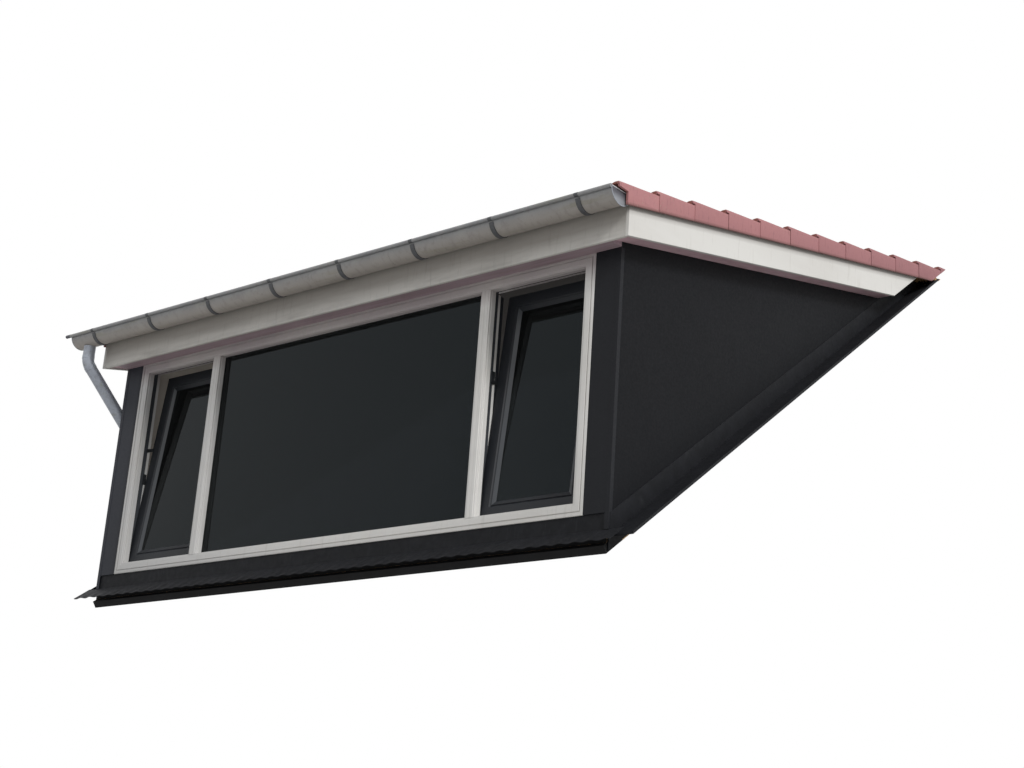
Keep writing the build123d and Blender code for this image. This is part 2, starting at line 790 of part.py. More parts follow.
with BuildPart() as pipe_clips:
    # rings round the lower run, each with a stem to the cheek
    for distance in clip_places:
        ring_plane = Plane(origin=along_cheek(distance), x_dir=(1, 0, 0),
                           z_dir=(0, cos(radians(pipe_slope)), -sin(radians(pipe_slope))))
        with BuildSketch(ring_plane.offset(-clip_width / 2)):
            Circle(pipe_radius + clip_thickness)
            Circle(pipe_radius, mode=Mode.SUBTRACT)
        extrude(amount=clip_width)
        with BuildSketch(Plane.YZ.offset(-cheek_outer)):
            with Locations(along_cheek(distance)[1:]):
                Circle(clip_stem)
        extrude(amount=-pipe_standoff + clip_thickness / 2)
save(pipe_clips.part, "pipe_clips")


# Flashings: an apron below the window and a tray beside each cheek, each with an upstand

apron_front = front_y - apron_reach
apron_half = cheek_outer + apron_side
skirt_outline = [
    (core_front, house_z(core_front, main_tile_plane)),
    (core_front, house_z(core_front, main_tile_plane + lead)),
    (apron_front, house_z(apron_front, main_tile_plane + lead)),
    (apron_front, house_z(apron_front, main_tile_plane)),
]
save(side_slab(skirt_outline, -apron_half, 2 * apron_half), "apron_skirt")

upstand_outline = [
    (core_front - lead, house_z(core_front - lead, main_tile_plane + lead)),
    (core_front, house_z(core_front, main_tile_plane + lead)),
    (core_front, sill_z),
    (core_front - lead, sill_z),
]
save(side_slab(upstand_outline, -cheek_outer, 2 * cheek_outer), "apron_upstand")

tray_start = core_front / cos(radians(main_pitch))
tray_end = meeting_y(batten_base, 0) / cos(radians(main_pitch))


def tray_strip(sketch):
    # a section square to the house roof, carried up it, then trimmed plumb at the front and along
    # the underside of the dormer's boarding at the rear
    with BuildPart() as strip:
        tray_section = Plane(origin=house_roof.from_local_coords(Vector(0, tray_start, 0)),
                             x_dir=(1, 0, 0), z_dir=-house_roof.y_dir)
        with BuildSketch(tray_section):
            for x, height, width, depth, side in sketch:
                with Locations((x, height)):
                    Rectangle(width, depth, align=(side, Align.MIN))
        extrude(amount=tray_start - tray_end)
        split(bisect_by=Plane.XZ.offset(-core_front), keep=Keep.BOTTOM)
        split(bisect_by=dormer_roof.offset(deck_base), keep=Keep.BOTTOM)
    return strip.part


tray_rim = cheek_outer + tray_width
trays = tray_strip([(cheek_outer, tray_height, tray_width, lead, Align.MIN),
                    (tray_rim, tray_height, lead, tray_edge, Align.MAX)])
save(both_sides(trays), "flashing_trays")
upstands = tray_strip([(cheek_outer, tray_height + lead, lead, tray_upstand - lead, Align.MIN)])
save(both_sides(upstands), "flashing_upstands")
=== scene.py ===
# Dresses the dormer window's CAD model for a render: clay tiles, frames with their fine lines,
# sealed glass units, rolled gutter, bent pipe and lead. Metres, in the same frame as the CAD.

import math

import bmesh
import bpy
import numpy as np
from mathutils import Matrix, Vector


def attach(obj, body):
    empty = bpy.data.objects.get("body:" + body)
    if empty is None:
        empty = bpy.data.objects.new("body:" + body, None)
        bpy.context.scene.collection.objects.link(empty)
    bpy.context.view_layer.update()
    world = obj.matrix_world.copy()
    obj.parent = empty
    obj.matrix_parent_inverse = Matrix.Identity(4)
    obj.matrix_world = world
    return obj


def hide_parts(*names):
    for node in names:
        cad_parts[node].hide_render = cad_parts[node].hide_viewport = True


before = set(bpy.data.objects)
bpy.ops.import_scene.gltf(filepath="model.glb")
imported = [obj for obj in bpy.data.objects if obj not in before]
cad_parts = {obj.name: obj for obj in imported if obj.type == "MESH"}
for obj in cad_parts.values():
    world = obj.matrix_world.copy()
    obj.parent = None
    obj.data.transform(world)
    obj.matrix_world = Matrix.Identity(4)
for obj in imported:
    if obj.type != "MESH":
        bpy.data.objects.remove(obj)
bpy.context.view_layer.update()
mm = 0.001
rng = np.random.default_rng(17)
print("frame loaded:", len(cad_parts), "nodes")


# numbers the pieces share with the CAD, in millimetres and degrees
window = {
    "front": -72.0, "sill": 163.0, "width": 3850.0, "height": 1447.0, "depth": 115.0,
    "face": 70.0, "reveal": 50.0, "rebate": 20.0, "mullionAt": 1152.0, "mullionFace": 68.0,
}
pitches = {"house": 36.5, "dormer": 12.85, "tile": 4.0}
slopes = {word: math.radians(pitch) for word, pitch in pitches.items()}
roofSeat = 1688.0  # underside of the rafters above the window's front


def onRoof(along, rise):
    # places along the dormer's slope and square to it, from the underside of the rafters:
    # y = front + along cos - rise sin, z = seat + along sin + rise cos
    c, s = math.cos(slopes["dormer"]), math.sin(slopes["dormer"])
    return window["front"] + along * c - rise * s, roofSeat + along * s + rise * c


def houseHeight(y, rise):
    # height of a plane that lies rise above the house roof's boarding: y tan + rise / cos
    return y * math.tan(slopes["house"]) + rise / math.cos(slopes["house"])


def bothWays(side, near, far):
    # the ends of a stretch to one side of the middle, the lower first
    return sorted((side * near, side * far))


# materials
looks = {}


def linear(hexColour):
    # sRGB bytes to linear light: c / 12.92 up to 0.04045, else ((c + 0.055) / 1.055) to the 2.4
    c = np.array([hexColour >> 16 & 255, hexColour >> 8 & 255, hexColour & 255]) / 255
    lin = np.where(c <= 0.04045, c / 12.92, ((c + 0.055) / 1.055) ** 2.4)
    return (*lin.tolist(), 1.0)


def addNode(tree, kind, settings=(), links=()):
    # one node: a setting is an input's name or number, or else a property; a link is input to output
    node = tree.nodes.new(kind)
    for key, value in dict(settings).items():
        if isinstance(key, int) or key in node.inputs:
            node.inputs[key].default_value = value
        else:
            setattr(node, key, value)
    for key, output in dict(links).items():
        tree.links.new(output, node.inputs[key])
    return node


def clouds(size, low, high, amount, colour, turn=(0, 0, 0)):
    # a layer of noise, size mm wide: its colour comes in where the noise rises from low to high
    return {"size": size, "low": low, "high": high, "amount": amount, "colour": colour, "turn": turn}


def spots(size, low, high, amount, colour, within=None):
    # the same from round cells, and where within is given only in patches of that size in mm
    return {**clouds(size, low, high, amount, colour), "cells": True, "within": within}


def band(follows, low, high, amount, colour):
    # a colour that comes in from low to high, in mm along a direction or over a point attribute
    return {"follows": follows, "low": low, "high": high, "amount": amount, "colour": colour}


def grain(size, gloss, bump=0.0, turn=(0, 0, 0)):
    # fine noise, size mm wide, that sets the roughness between two values and raises bump mm
    return {"size": size, "gloss": gloss, "bump": bump, "turn": turn}


def scaledPlace(tree, place, size, turn):
    # Object coordinates turned by degrees, in units of size mm, one for all axes or one for each
    sizes = size if isinstance(size, tuple) else (size,) * 3
    settings = {"Rotation": [math.radians(a) for a in turn], "Scale": [1 / (s * mm) for s in sizes]}
    return addNode(tree, "ShaderNodeMapping", settings, {"Vector": place}).outputs[0]


def noiseAt(tree, vector, scale, detail, roughness=0.5):
    # soft noise over a place
    settings = {"Scale": scale, "Detail": detail, "Roughness": roughness}
    return addNode(tree, "ShaderNodeTexNoise", settings, {"Vector": vector}).outputs["Fac"]


def ranged(tree, value, low, high, start=0.0, end=1.0):
    # a value with low and high taken to start and end
    settings = {"From Min": low, "From Max": high, "To Min": start, "To Max": end}
    return addNode(tree, "ShaderNodeMapRange", settings, {"Value": value}).outputs[0]


def layerShare(tree, place, layer):
    # how much of a layer's colour shows: what it follows, taken from low and high to 0 and amount
    follows = layer.get("follows")
    if isinstance(follows, str):
        value = addNode(tree, "ShaderNodeAttribute", {"attribute_name": follows}).outputs["Fac"]
    elif follows:
        settings = {"operation": "DOT_PRODUCT", 1: [t / mm for t in follows]}
        value = addNode(tree, "ShaderNodeVectorMath", settings, {0: place}).outputs["Value"]
    else:
        spot = scaledPlace(tree, place, layer["size"], layer["turn"])
        if layer.get("cells"):
            settings = {"Scale": 1.0, "Randomness": 1.0}
            value = addNode(tree, "ShaderNodeTexVoronoi", settings, {"Vector": spot}).outputs["Distance"]
        else:
            value = noiseAt(tree, spot, 1.0, 4.0, 0.6)
    share = ranged(tree, value, layer["low"], layer["high"], 0.0, layer["amount"])
    if layer.get("within"):
        patch = ranged(tree, noiseAt(tree, place, 1 / (layer["within"] * mm), 2.0), 0.5, 0.62)
        share = addNode(tree, "ShaderNodeMath", {"operation": "MULTIPLY"}, {0: share, 1: patch}).outputs[0]
    return share


def finish(name, base, layers, fine=None, shader=()):
    # a principled surface: a base colour with the layers mixed over it, and fine grain on top
    material = bpy.data.materials.new(name)
    material.use_nodes = True
    tree = material.node_tree
    surface = tree.nodes["Principled BSDF"]
    for key, value in dict(shader).items():
        surface.inputs[key].default_value = value
    place = addNode(tree, "ShaderNodeTexCoord").outputs["Object"]
    colour = addNode(tree, "ShaderNodeRGB").outputs[0]
    colour.default_value = linear(base)
    for layer in layers:
        share = layerShare(tree, place, layer)
        colour = addNode(tree, "ShaderNodeMix", {"data_type": "RGBA", 7: linear(layer["colour"])},
                         {0: share, 6: colour}).outputs[2]
    tree.links.new(colour, surface.inputs["Base Color"])
    if fine:
        noise = noiseAt(tree, scaledPlace(tree, place, fine["size"], fine["turn"]), 1.0, 5.0, 0.62)
        gloss = ranged(tree, noise, 0.3, 0.7, *fine["gloss"])
        tree.links.new(gloss, surface.inputs["Roughness"])
    if fine and fine["bump"]:
        raised = addNode(tree, "ShaderNodeBump", {"Strength": 0.6, "Distance": fine["bump"] * mm},
                         {"Height": noise}).outputs[0]
        tree.links.new(raised, surface.inputs["Normal"])
    looks[name] = material


# directions for the bands; seat is how far along onSlope the underside of the rafters lies
upward, leftward = (0, 0, 1), (-1, 0, 0)
onSlope = (0.0, -math.sin(slopes["dormer"]), math.cos(slopes["dormer"]))
seat = window["front"] * onSlope[1] + roofSeat * onSlope[2]

# extruded white uPVC: smooth satin skin, faint grey runs, brownish painted shade with some dirt
# under the eaves, and dustier towards its left end
finish("whiteProfile", 0xDBD9D5, [
    band(leftward, -100, 1900, 0.5, 0x8A8B8F),
    # painted shade, partly dirt: brownish grey up the frame's top, where the soffit shades it
    band(upward, 1440, 1545, 0.7, 0x84757A),
    clouds((900, 900, 420), 0.42, 0.7, 0.45, 0xC2BFB8),
    clouds((26, 26, 640), 0.56, 0.8, 0.35, 0x9C978C)],
    grain(40, (0.3, 0.44), 0.05))

# the bargeboards' paint: brushed alkyd, slightly chalky, grey with dust, with painted shadow under the tiles
finish("vergeBoard", 0xD3D1CC, [
    clouds((1200, 1200, 300), 0.4, 0.72, 0.5, 0xC0BCB6),
    # painted shadow: a dark band along the board's top, under the verge tiles' flanges
    band(onSlope, seat + 48, seat + 92, 0.8, 0x77726D),
    clouds((30, 30, 260), 0.58, 0.82, 0.35, 0x9A9489)],
    grain((260, 260, 2.5), (0.42, 0.58), 0.12))

# the fascia's paint: a darker copy of the bargeboards' as painted shade, deepest under the gutter and
# clearing towards its foot
finish("shadedBoard", 0xC9C6C0, [
    # painted shade: the gutter's shade over the fascia's top
    band(upward, 1606, 1690, 0.85, 0x96918B),
    clouds((400, 400, 60), 0.42, 0.72, 0.5, 0x8A857F),
    clouds((24, 24, 200), 0.56, 0.8, 0.4, 0x7A756E)],
    grain((260, 260, 2.5), (0.45, 0.6), 0.12))

# paler satin grey than the sash's anthracite: a painted highlight of the sky on the upright beads
# where they slope to the glass; it also lines the side lights' rebates
finish("greyBead", 0x3C3F43, [
    clouds((60, 60, 400), 0.4, 0.75, 0.5, 0x2F3135)],
    grain(8, (0.3, 0.42)))

# anthracite foiled profile: fine leather grain, so edges glint a little
finish("anthraciteFoil", 0x24262A, [
    clouds(300, 0.4, 0.75, 0.5, 0x2C2F33)],
    grain((3, 3, 9), (0.36, 0.52), 0.08), {"Specular IOR Level": 0.22})

# high-pressure laminate on the corners: dense and smooth, faint clouding, bleached on the left
finish("cheekLaminate", 0x1A1B1F, [
    band(leftward, 1900, 1960, 0.8, 0x383A41),
    clouds(700, 0.4, 0.7, 0.35, 0x202226),
    clouds((18, 18, 500), 0.58, 0.85, 0.25, 0x34353A)],
    grain(14, (0.44, 0.6), 0.05), {"Specular IOR Level": 0.16})

# the same laminate on the cheeks' big sheets as a shaded copy: darker and flatter, painted shade
finish("shadedLaminate", 0x111215, [
    clouds(700, 0.4, 0.7, 0.6, 0x16171A),
    clouds((18, 18, 500), 0.58, 0.85, 0.25, 0x24252A)],
    grain(14, (0.5, 0.66), 0.05), {"Specular IOR Level": 0.09})

# pre-weathered zinc: blue-grey patina, cloudy, with pale oxide runs and dull bloom
finish("weatheredZinc", 0x9EA3AD, [
    clouds(160, 0.38, 0.68, 0.8, 0xB4BAC4),
    clouds((22, 60, 22), 0.5, 0.78, 0.5, 0x7C7B7D),
    clouds((340, 40, 40), 0.56, 0.7, 0.45, 0x83836F)],
    grain(6, (0.38, 0.6), 0.06), {"Metallic": 0.25})

# the end plates: zinc with painted shadow of the tiles' noses over the upper part, lit again along its foot
finish("shadowedZinc", 0x8A8D93, [
    clouds(120, 0.38, 0.68, 0.6, 0x9A9DA1),
    # painted shadow: dark from the rim down to near the foot
    band(upward, 1757, 1790, 0.85, 0x4A4950)],
    grain(6, (0.4, 0.6), 0.06), {"Metallic": 0.3})

# zinc rubbed bare on a folded edge: pale, with a soft shine
finish("rubbedZinc", 0xD4D5D8, [
    clouds(14, 0.5, 0.7, 0.4, 0xB2B4B8)],
    grain(5, (0.4, 0.55)), {"Metallic": 0.2})

# the trough: the same zinc, browner and duller, and paler towards its underside as painted light from below
finish("troughZinc", 0x8A8B8D, [
    clouds(160, 0.38, 0.68, 0.8, 0x9B9B9B),
    # painted light: paler and warmer towards the underside, as if lit from the ground
    band(upward, 1800, 1742, 0.8, 0xA8A098),
    clouds((30, 60, 30), 0.5, 0.78, 0.4, 0x6F6A67),
    clouds((340, 40, 40), 0.56, 0.7, 0.4, 0x8A8772)],
    grain(6, (0.42, 0.62), 0.06), {"Metallic": 0.25})

# hot-dip galvanised straps gone dark: matt, blotched
finish("galvanisedStrap", 0x5A5B5E, [
    clouds(20, 0.4, 0.7, 0.6, 0x474749)],
    grain(5, (0.5, 0.7), 0.1), {"Metallic": 0.3})

# milled lead: dark oxide, dressed by hand, with soft dents and pale carbonate streaks
finish("dressedLead", 0x16171A, [
    clouds(90, 0.4, 0.7, 0.7, 0x1E1F23),
    clouds((14, 110, 110), 0.6, 0.8, 0.4, 0x38393C)],
    grain(28, (0.52, 0.7), 1.2), {"Specular IOR Level": 0.16})

# black bitumen felt lapped over the sole plate, its black partly painted shade of the apron: matt, stippled
# with fine sand
finish("bitumenFelt", 0x1C1C1D, [
    clouds(2, 0.55, 0.7, 0.5, 0x3A3938),
    clouds(120, 0.45, 0.7, 0.4, 0x27282A)],
    grain(2, (0.75, 0.95), 0.4), {"Specular IOR Level": 0.2})

# fired clay, engobe worn off: every tile its own red, sooty runs, lichen in round pale spots
finish("firedClay", 0xB5715E, [
    band("tone", 0.0, 0.8, 0.85, 0x824A40),
    clouds(120, 0.45, 0.68, 0.5, 0xBC826C),
    clouds((16, 90, 60), 0.55, 0.74, 0.55, 0x6E443C),
    clouds(5, 0.6, 0.72, 0.5, 0x4B342D),
    spots(30, 0.24, 0.16, 0.75, 0x9B9A84, within=420),
    spots(22, 0.2, 0.12, 0.8, 0x3C3A34, within=300)],
    grain(4, (0.72, 0.92), 0.5))

# the verge tiles' clay: plumb faces dustier and pinker than the roof's, tops like the roof's, and painted
# shade along the flanges' foot
finish("paleClay", 0xAF7979, [
    band("tone", 0.1, 1.0, 0.95, 0x845C60),
    clouds((160, 90, 90), 0.42, 0.7, 0.45, 0xA27073),
    clouds((50, 16, 60), 0.56, 0.76, 0.5, 0x745054),
    band("skyward", 0.25, 0.95, 0.85, 0x9C6255),
    # painted shade: darker down the flange towards its foot
    band(onSlope, seat + 108, seat + 93, 0.65, 0x62443F),
    spots(24, 0.22, 0.14, 0.3, 0x9B9A84, within=500)],
    grain(4, (0.75, 0.92), 0.5))

upDormer, upHouse = (-pitches["dormer"], 0, 0), (-pitches["house"], 0, 0)

# sawn and planed softwood along X: pale early wood, darker rings 5 mm apart drawn at 9 mm
finish("softwood", 0xC9A574, [
    clouds((700, 9, 9), 0.42, 0.66, 0.7, 0xA67C4B),
    spots(60, 0.1, 0.03, 0.8, 0x6F4A2B)],
    grain((300, 3, 3), (0.55, 0.75), 0.25))

# the same wood running up the dormer's roof slope
finish("slopingSoftwood", 0xC9A574, [
    clouds((9, 700, 9), 0.42, 0.66, 0.7, 0xA67C4B, turn=upDormer)],
    grain((3, 300, 3), (0.55, 0.75), 0.25, turn=upDormer))

# softwood running up the house roof's slope
finish("steepSoftwood", 0xC2A070, [
    clouds((9, 700, 9), 0.42, 0.66, 0.7, 0xA07747, turn=upHouse)],
    grain((3, 300, 3), (0.55, 0.75), 0.25, turn=upHouse))

# emulsion on wallboard in a mid grey that is partly painted shade of the unlit room: matt, with the faint
# orange-peel of a roller
finish("emulsionAndShade", 0x9C958C, [
    clouds(600, 0.4, 0.7, 0.5, 0x8C867E)],
    grain(5, (0.75, 0.9), 0.15))

# ceiling boards under a dark walnut stain: satin, streaked along the room
finish("walnutStain", 0x2C2927, [
    clouds((500, 14, 14), 0.4, 0.7, 0.6, 0x231F1D)],
    grain((300, 4, 4), (0.75, 0.92), 0.12), {"Specular IOR Level": 0.08})

# plywood soffit: grey-pink, patchy, grain along the eaves
finish("greyPinkPly", 0x97838A, [
    clouds((420, 24, 24), 0.4, 0.68, 0.7, 0x806E72),
    clouds(500, 0.45, 0.7, 0.4, 0xA59397)],
    grain((260, 4, 4), (0.5, 0.7), 0.2))

# the side soffits' ply: the same grey-pink, paler
finish("palerGreyPinkPly", 0xC3A3AB, [
    clouds((24, 420, 24), 0.4, 0.68, 0.7, 0xA8898F),
    clouds(500, 0.45, 0.7, 0.4, 0xD4B6BB)],
    grain((4, 260, 4), (0.5, 0.7), 0.2))

# steel fittings under a black oxide coat: satin, rubbed a little greyer in places
finish("blackedSteel", 0x2E3033, [
    clouds(40, 0.45, 0.7, 0.4, 0x45474A)],
    grain((2, 2, 60), (0.34, 0.5), 0.02), {"Metallic": 0.6})

# black plastic spacer of the sealed units: matt, so no bright line shows round the glass
finish("spacerPlastic", 0x1B1C1D, [
    clouds(30, 0.45, 0.7, 0.4, 0x242526)],
    grain(3, (0.5, 0.66)))

# black rubber gaskets: matt, a little greyed
finish("gasketRubber", 0x141516, [
    clouds(50, 0.5, 0.7, 0.5, 0x232425)],
    grain(6, (0.55, 0.7)))

# float glass, outer pane: mirror smooth, half a dark matt colour as painted shade of the unlit room, its
# shine tinted sky blue as a painted reflection
finish("outerPane", 0x1F2020, [
    clouds((260, 260, 700), 0.55, 0.8, 0.25, 0x171819)],
    shader={"Roughness": 0.0, "Transmission Weight": 0.5, "IOR": 1.24,
            "Specular Tint": linear(0xDAF3FF)})

# inner pane: float glass tinted a deep grey-blue, which as painted shade dims the room seen through both
# panes, a little greyer in patches
finish("innerPane", 0xA4AABB, [
    clouds(500, 0.4, 0.75, 0.5, 0x898F9D)],
    shader={"Roughness": 0.0, "Transmission Weight": 1.0, "IOR": 1.1})

print("finishes built:", len(looks))



# mesh helpers


def addToScene(name, data):
    # an object of that name and data, in the scene
    thing = bpy.data.objects.new(name, data)
    bpy.context.scene.collection.objects.link(thing)
    return thing


def addPiece(name, points, faces, look, slotName, nodes=(), smooth=40, bevel=0.0):
    # a piece from points in mm and its faces
    mesh = bpy.data.meshes.new(name)
    mesh.from_pydata((np.asarray(points, float) * mm).tolist(), [],
                     faces if isinstance(faces, list) else faces.tolist())
    return finishPiece(name, mesh, look, nodes, smooth, bevel)


def finishPiece(name, mesh, look, nodes=(), smooth=40, bevel=0.0):
    # normals turned outwards, edges over smooth degrees kept sharp, and a bevel in mm where given
    shell = bmesh.new()
    shell.from_mesh(mesh)
    bmesh.ops.recalc_face_normals(shell, faces=shell.faces)
    shell.to_mesh(mesh)
    shell.free()
    mesh.shade_smooth()
    mesh.set_sharp_from_angle(angle=math.radians(smooth))
    mesh.materials.append(looks[look])
    piece = addToScene(name, mesh)
    if bevel:
        edge = piece.modifiers.new("edge", "BEVEL")
        edge.width = bevel * mm
        edge.segments = 2
        edge.limit_method = "ANGLE"
        edge.angle_limit = math.radians(30)
        edge.harden_normals = True
    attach(piece, "root")
    if nodes:
        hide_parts(*nodes)
    return piece


def gridFaces(rows, columns, wrapRows=False, wrapColumns=False):
    # the cells of a rows by columns grid of points, as quads
    r = np.arange(rows if wrapRows else rows - 1)[:, None]
    c = np.arange(columns if wrapColumns else columns - 1)[None, :]
    here, below = r * columns, (r + 1) % rows * columns
    across = (c + 1) % columns
    return np.stack([here + c, here + across, below + across, below + c], -1).reshape(-1, 4)


def manyShells(points, faces, ends):
    # joined copies with closed ends: shell k's faces count on from shell k - 1's last point
    count, size = points.shape[0], points.shape[1]
    step = (np.arange(count) * size)[:, None, None]
    allFaces = (faces[None] + step).reshape(-1, faces.shape[1]).tolist()
    for loop in ends:
        allFaces += (np.asarray(loop)[None] + step[:, 0]).tolist()
    return points.reshape(-1, 3), allFaces


def mergeShells(*shells):
    # several (points, faces) into one
    points, faces, offset = [], [], 0
    for shellPoints, shellFaces in shells:
        points.append(np.asarray(shellPoints, float))
        faces += [[i + offset for i in face] for face in np.asarray(shellFaces, object).tolist()]
        offset += len(shellPoints)
    return np.concatenate(points), faces


def stacked(x, y, z):
    # points from their coordinates, each stretched to the same shape
    return np.stack(np.broadcast_arrays(x, y, z), -1)


def endCaps(count, size):
    # the first and the last ring of a tube with count points, as two faces
    return [list(range(size)), list(range(count - 1, count - size - 1, -1))]


def ringSurface(low, high, profile, place):
    # a profile of (inward, depth) points carried round a rectangle: each corner point moves inward
    # along both sides, which mitres it
    inward, depth = np.asarray(profile, float).T
    a = np.stack([low[0] + inward, high[0] - inward, high[0] - inward, low[0] + inward])
    b = np.stack([low[1] + inward, low[1] + inward, high[1] - inward, high[1] - inward])
    points = stacked(*place(a, b, depth)).reshape(-1, 3)
    return points, gridFaces(4, len(profile), True, True)


def barSurface(profile, start, end, place):
    # a closed profile of (across, depth) points carried straight from start to end
    across, depth = np.asarray(profile, float).T
    points = stacked(*place(across, np.array([[start], [end]]), depth)).reshape(-1, 3)
    return points, gridFaces(2, len(profile), False, True).tolist() + endCaps(len(points), len(profile))


def roundRing(low, high, inward, out, radius, place, sides=8):
    # a bead of round section round a rectangle: inward + r cos t across it and out + r sin t deep
    t = np.arange(sides) * 2 * math.pi / sides
    section = np.stack([inward + radius * np.cos(t), out + radius * np.sin(t)], -1)
    return ringSurface(low, high, section, place)


def slabSurface(low, high, near, far, place):
    # the eight corners of a slab and its six faces
    a = np.array([low[0], high[0], high[0], low[0]] * 2, float)
    b = np.array([low[1], low[1], high[1], high[1]] * 2, float)
    d = np.array([near] * 4 + [far] * 4, float)
    faces = [[0, 1, 2, 3], [7, 6, 5, 4], [0, 4, 5, 1], [1, 5, 6, 2], [2, 6, 7, 3], [3, 7, 4, 0]]
    return stacked(*place(a, b, d)), faces


def tubeAlong(path, radius, sides, closed=False):
    # a round section carried along a path: at each point r cos t to the side and r sin t up, square
    # to the path's direction there
    path = np.asarray(path, float)
    radius = np.broadcast_to(radius, len(path))
    ahead = np.roll(path, -1, 0) - np.roll(path, 1, 0) if closed else np.gradient(path, axis=0)
    ahead /= np.linalg.norm(ahead, axis=1, keepdims=True)
    side = np.cross(ahead, [1.0, 0.03, 0.02])  # near enough to x, but never along a path here
    side /= np.linalg.norm(side, axis=1, keepdims=True)
    up = np.cross(side, ahead)
    t = (np.arange(sides) * 2 * math.pi / sides)[None, :, None]
    points = path[:, None] + radius[:, None, None] * (np.cos(t) * side[:, None] + np.sin(t) * up[:, None])
    points = points.reshape(-1, 3)
    faces = gridFaces(len(path), sides, closed, True).tolist()
    return points, faces if closed else faces + endCaps(len(points), sides)


def onFront(a, b, d):
    # places on the window: along it, up it and in from its front
    return a, window["front"] + d, b


def alongX(a, b, d):
    # a section in y and z carried along x
    return b, a, d


def alongZ(a, b, d):
    # a section in x and y carried up z
    return a, d, b


# window frame: one welded ring with a drip groove and a stepped inner lip
frameLines = {"groove": (19.5, 25.5), "grooveDepth": 6.0, "arris": 1.0, "ease": 2.5, "step": 13.0,
              "mullionStep": 11.5, "stepDepth": 2.5, "stepLean": 0.5, "cove": (7.0, 20.0),
              "coveDepth": 3.0, "coveEnd": 2.0, "seam": (2.0, 1.5), "mullionLap": 4.0}


def revealEdge(edge, step):
    # a profile's inner end: a step down before the edge, the eased edge, a cove on the reveal and
    # the rebate behind it
    w, g = window, frameLines
    e, s, c, k, m = g["ease"], g["stepDepth"], g["cove"], g["coveDepth"], g["coveEnd"]
    back = edge - w["rebate"]
    return [(edge - step - g["arris"], 0), (edge - step, g["arris"]), (edge - step + g["stepLean"], s),
            (edge - e, s), (edge - 0.3 * e, s + 0.3 * e), (edge, s + e),
            (edge, c[0]), (edge - k, c[0] + m), (edge - k, c[1] - m), (edge, c[1]),
            (edge, w["reveal"]), (back, w["reveal"]), (back, w["depth"])]


def framePieces():
    # profiles: the frame's has a rounded outer edge and a groove before its reveal edge, and a
    # mullion's is a reveal edge on each side of a seam
    g, e, n, d = frameLines, frameLines["ease"], frameLines["arris"], window["depth"]
    start, end = g["groove"]
    profile = [(0, d), (0, e), (0.3 * e, 0.3 * e), (e, 0),
               (start - n, 0), (start, n), (start, g["grooveDepth"]), (end, g["grooveDepth"]), (end, n),
               (end + n, 0)] + revealEdge(window["face"], g["step"])
    half, top = window["width"] / 2, window["sill"] + window["height"]
    points, faces = ringSurface((-half, window["sill"]), (half, top), profile, onFront)
    addPiece("windowFrame", points, faces, "whiteProfile", "white_frame",
             ("frame_sill", "frame_head", "frame_jambs"), smooth=25)
    edge = revealEdge(window["mullionFace"] / 2, g["mullionStep"])
    right = [(0, d)] + edge[::-1] + [(g["seam"][0], 0), (g["seam"][1], g["seam"][1])]
    left = [(-a, b) for a, b in right[::-1] if a > 0]
    low, high = lightLow - g["mullionLap"], lightHigh + g["mullionLap"]
    bars = [barSurface([(at + a, b) for a, b in right + left], low, high, onFront)
            for at in (-window["mullionAt"], window["mullionAt"])]
    addPiece("windowMullions", *mergeShells(*bars), "whiteProfile", "white_frame", ("mullions",), smooth=25)


# the lights' edges, up the window and out from its middle
lightLow, lightHigh = window["sill"] + window["face"], window["sill"] + window["height"] - window["face"]
mullionIn = window["mullionAt"] - window["mullionFace"] / 2
mullionOut = window["mullionAt"] + window["mullionFace"] / 2
jambIn = window["width"] / 2 - window["face"]
framePieces()

# glass: every sealed unit is an outer pane, a spacer ring and an inner pane
glassSizes = {"pane": 4.0, "unit": 28.0, "cover": 15.0, "spacer": 7.0, "gap": 0.15}


def sealedUnit(word, node, low, high, front, place):
    # outer pane, spacer ring and inner pane; the gap keeps their faces from lying on each other
    p, u, w, gap = (glassSizes[key] for key in ("pane", "unit", "spacer", "gap"))
    addPiece(word + "InnerPane", *slabSurface(low, high, front + u - p, front + u, place),
             "innerPane", "glass", (node,))
    addPiece(word + "OuterPane", *slabSurface(low, high, front, front + p, place), "outerPane", "glass")
    section = [(gap, p + gap), (w, p + gap), (w, u - p - gap), (gap, u - p - gap)]
    section = [(a, front + d) for a, d in section]
    addPiece(word + "Spacer", *ringSurface(low, high, section, place), "spacerPlastic", "hardware")


corner = mullionIn + glassSizes["cover"]
sealedUnit("centre", "centre_glass", (-corner, lightLow - glassSizes["cover"]),
           (corner, lightHigh + glassSizes["cover"]), window["reveal"], onFront)

# tilted sashes, drawn on their own leaning plane
sashSizes = {"tilt": 5.6, "hingeRadius": 8.0, "gap": 5.0, "thick": 64.0, "rail": 90.0, "ease": 2.5,
             "chamfer": 24.0, "lip": 3.0, "backLip": 2.0, "backChamfer": 18.0, "glassInset": 0.2}
hingeY = window["front"] + window["depth"] + sashSizes["hingeRadius"]
hingeZ = lightLow - window["rebate"] + sashSizes["gap"] / 2


def onSash(a, b, d):
    # places on the leaning sash: along it, b up it from the hinge axis, and d in from its outer face;
    # y = hinge + b sin tilt - out cos tilt, z = hinge + b cos tilt + out sin tilt
    t = math.radians(sashSizes["tilt"])
    out = sashSizes["hingeRadius"] + sashSizes["thick"] - d
    return a, hingeY + b * math.sin(t) - out * math.cos(t), hingeZ + b * math.cos(t) + out * math.sin(t)


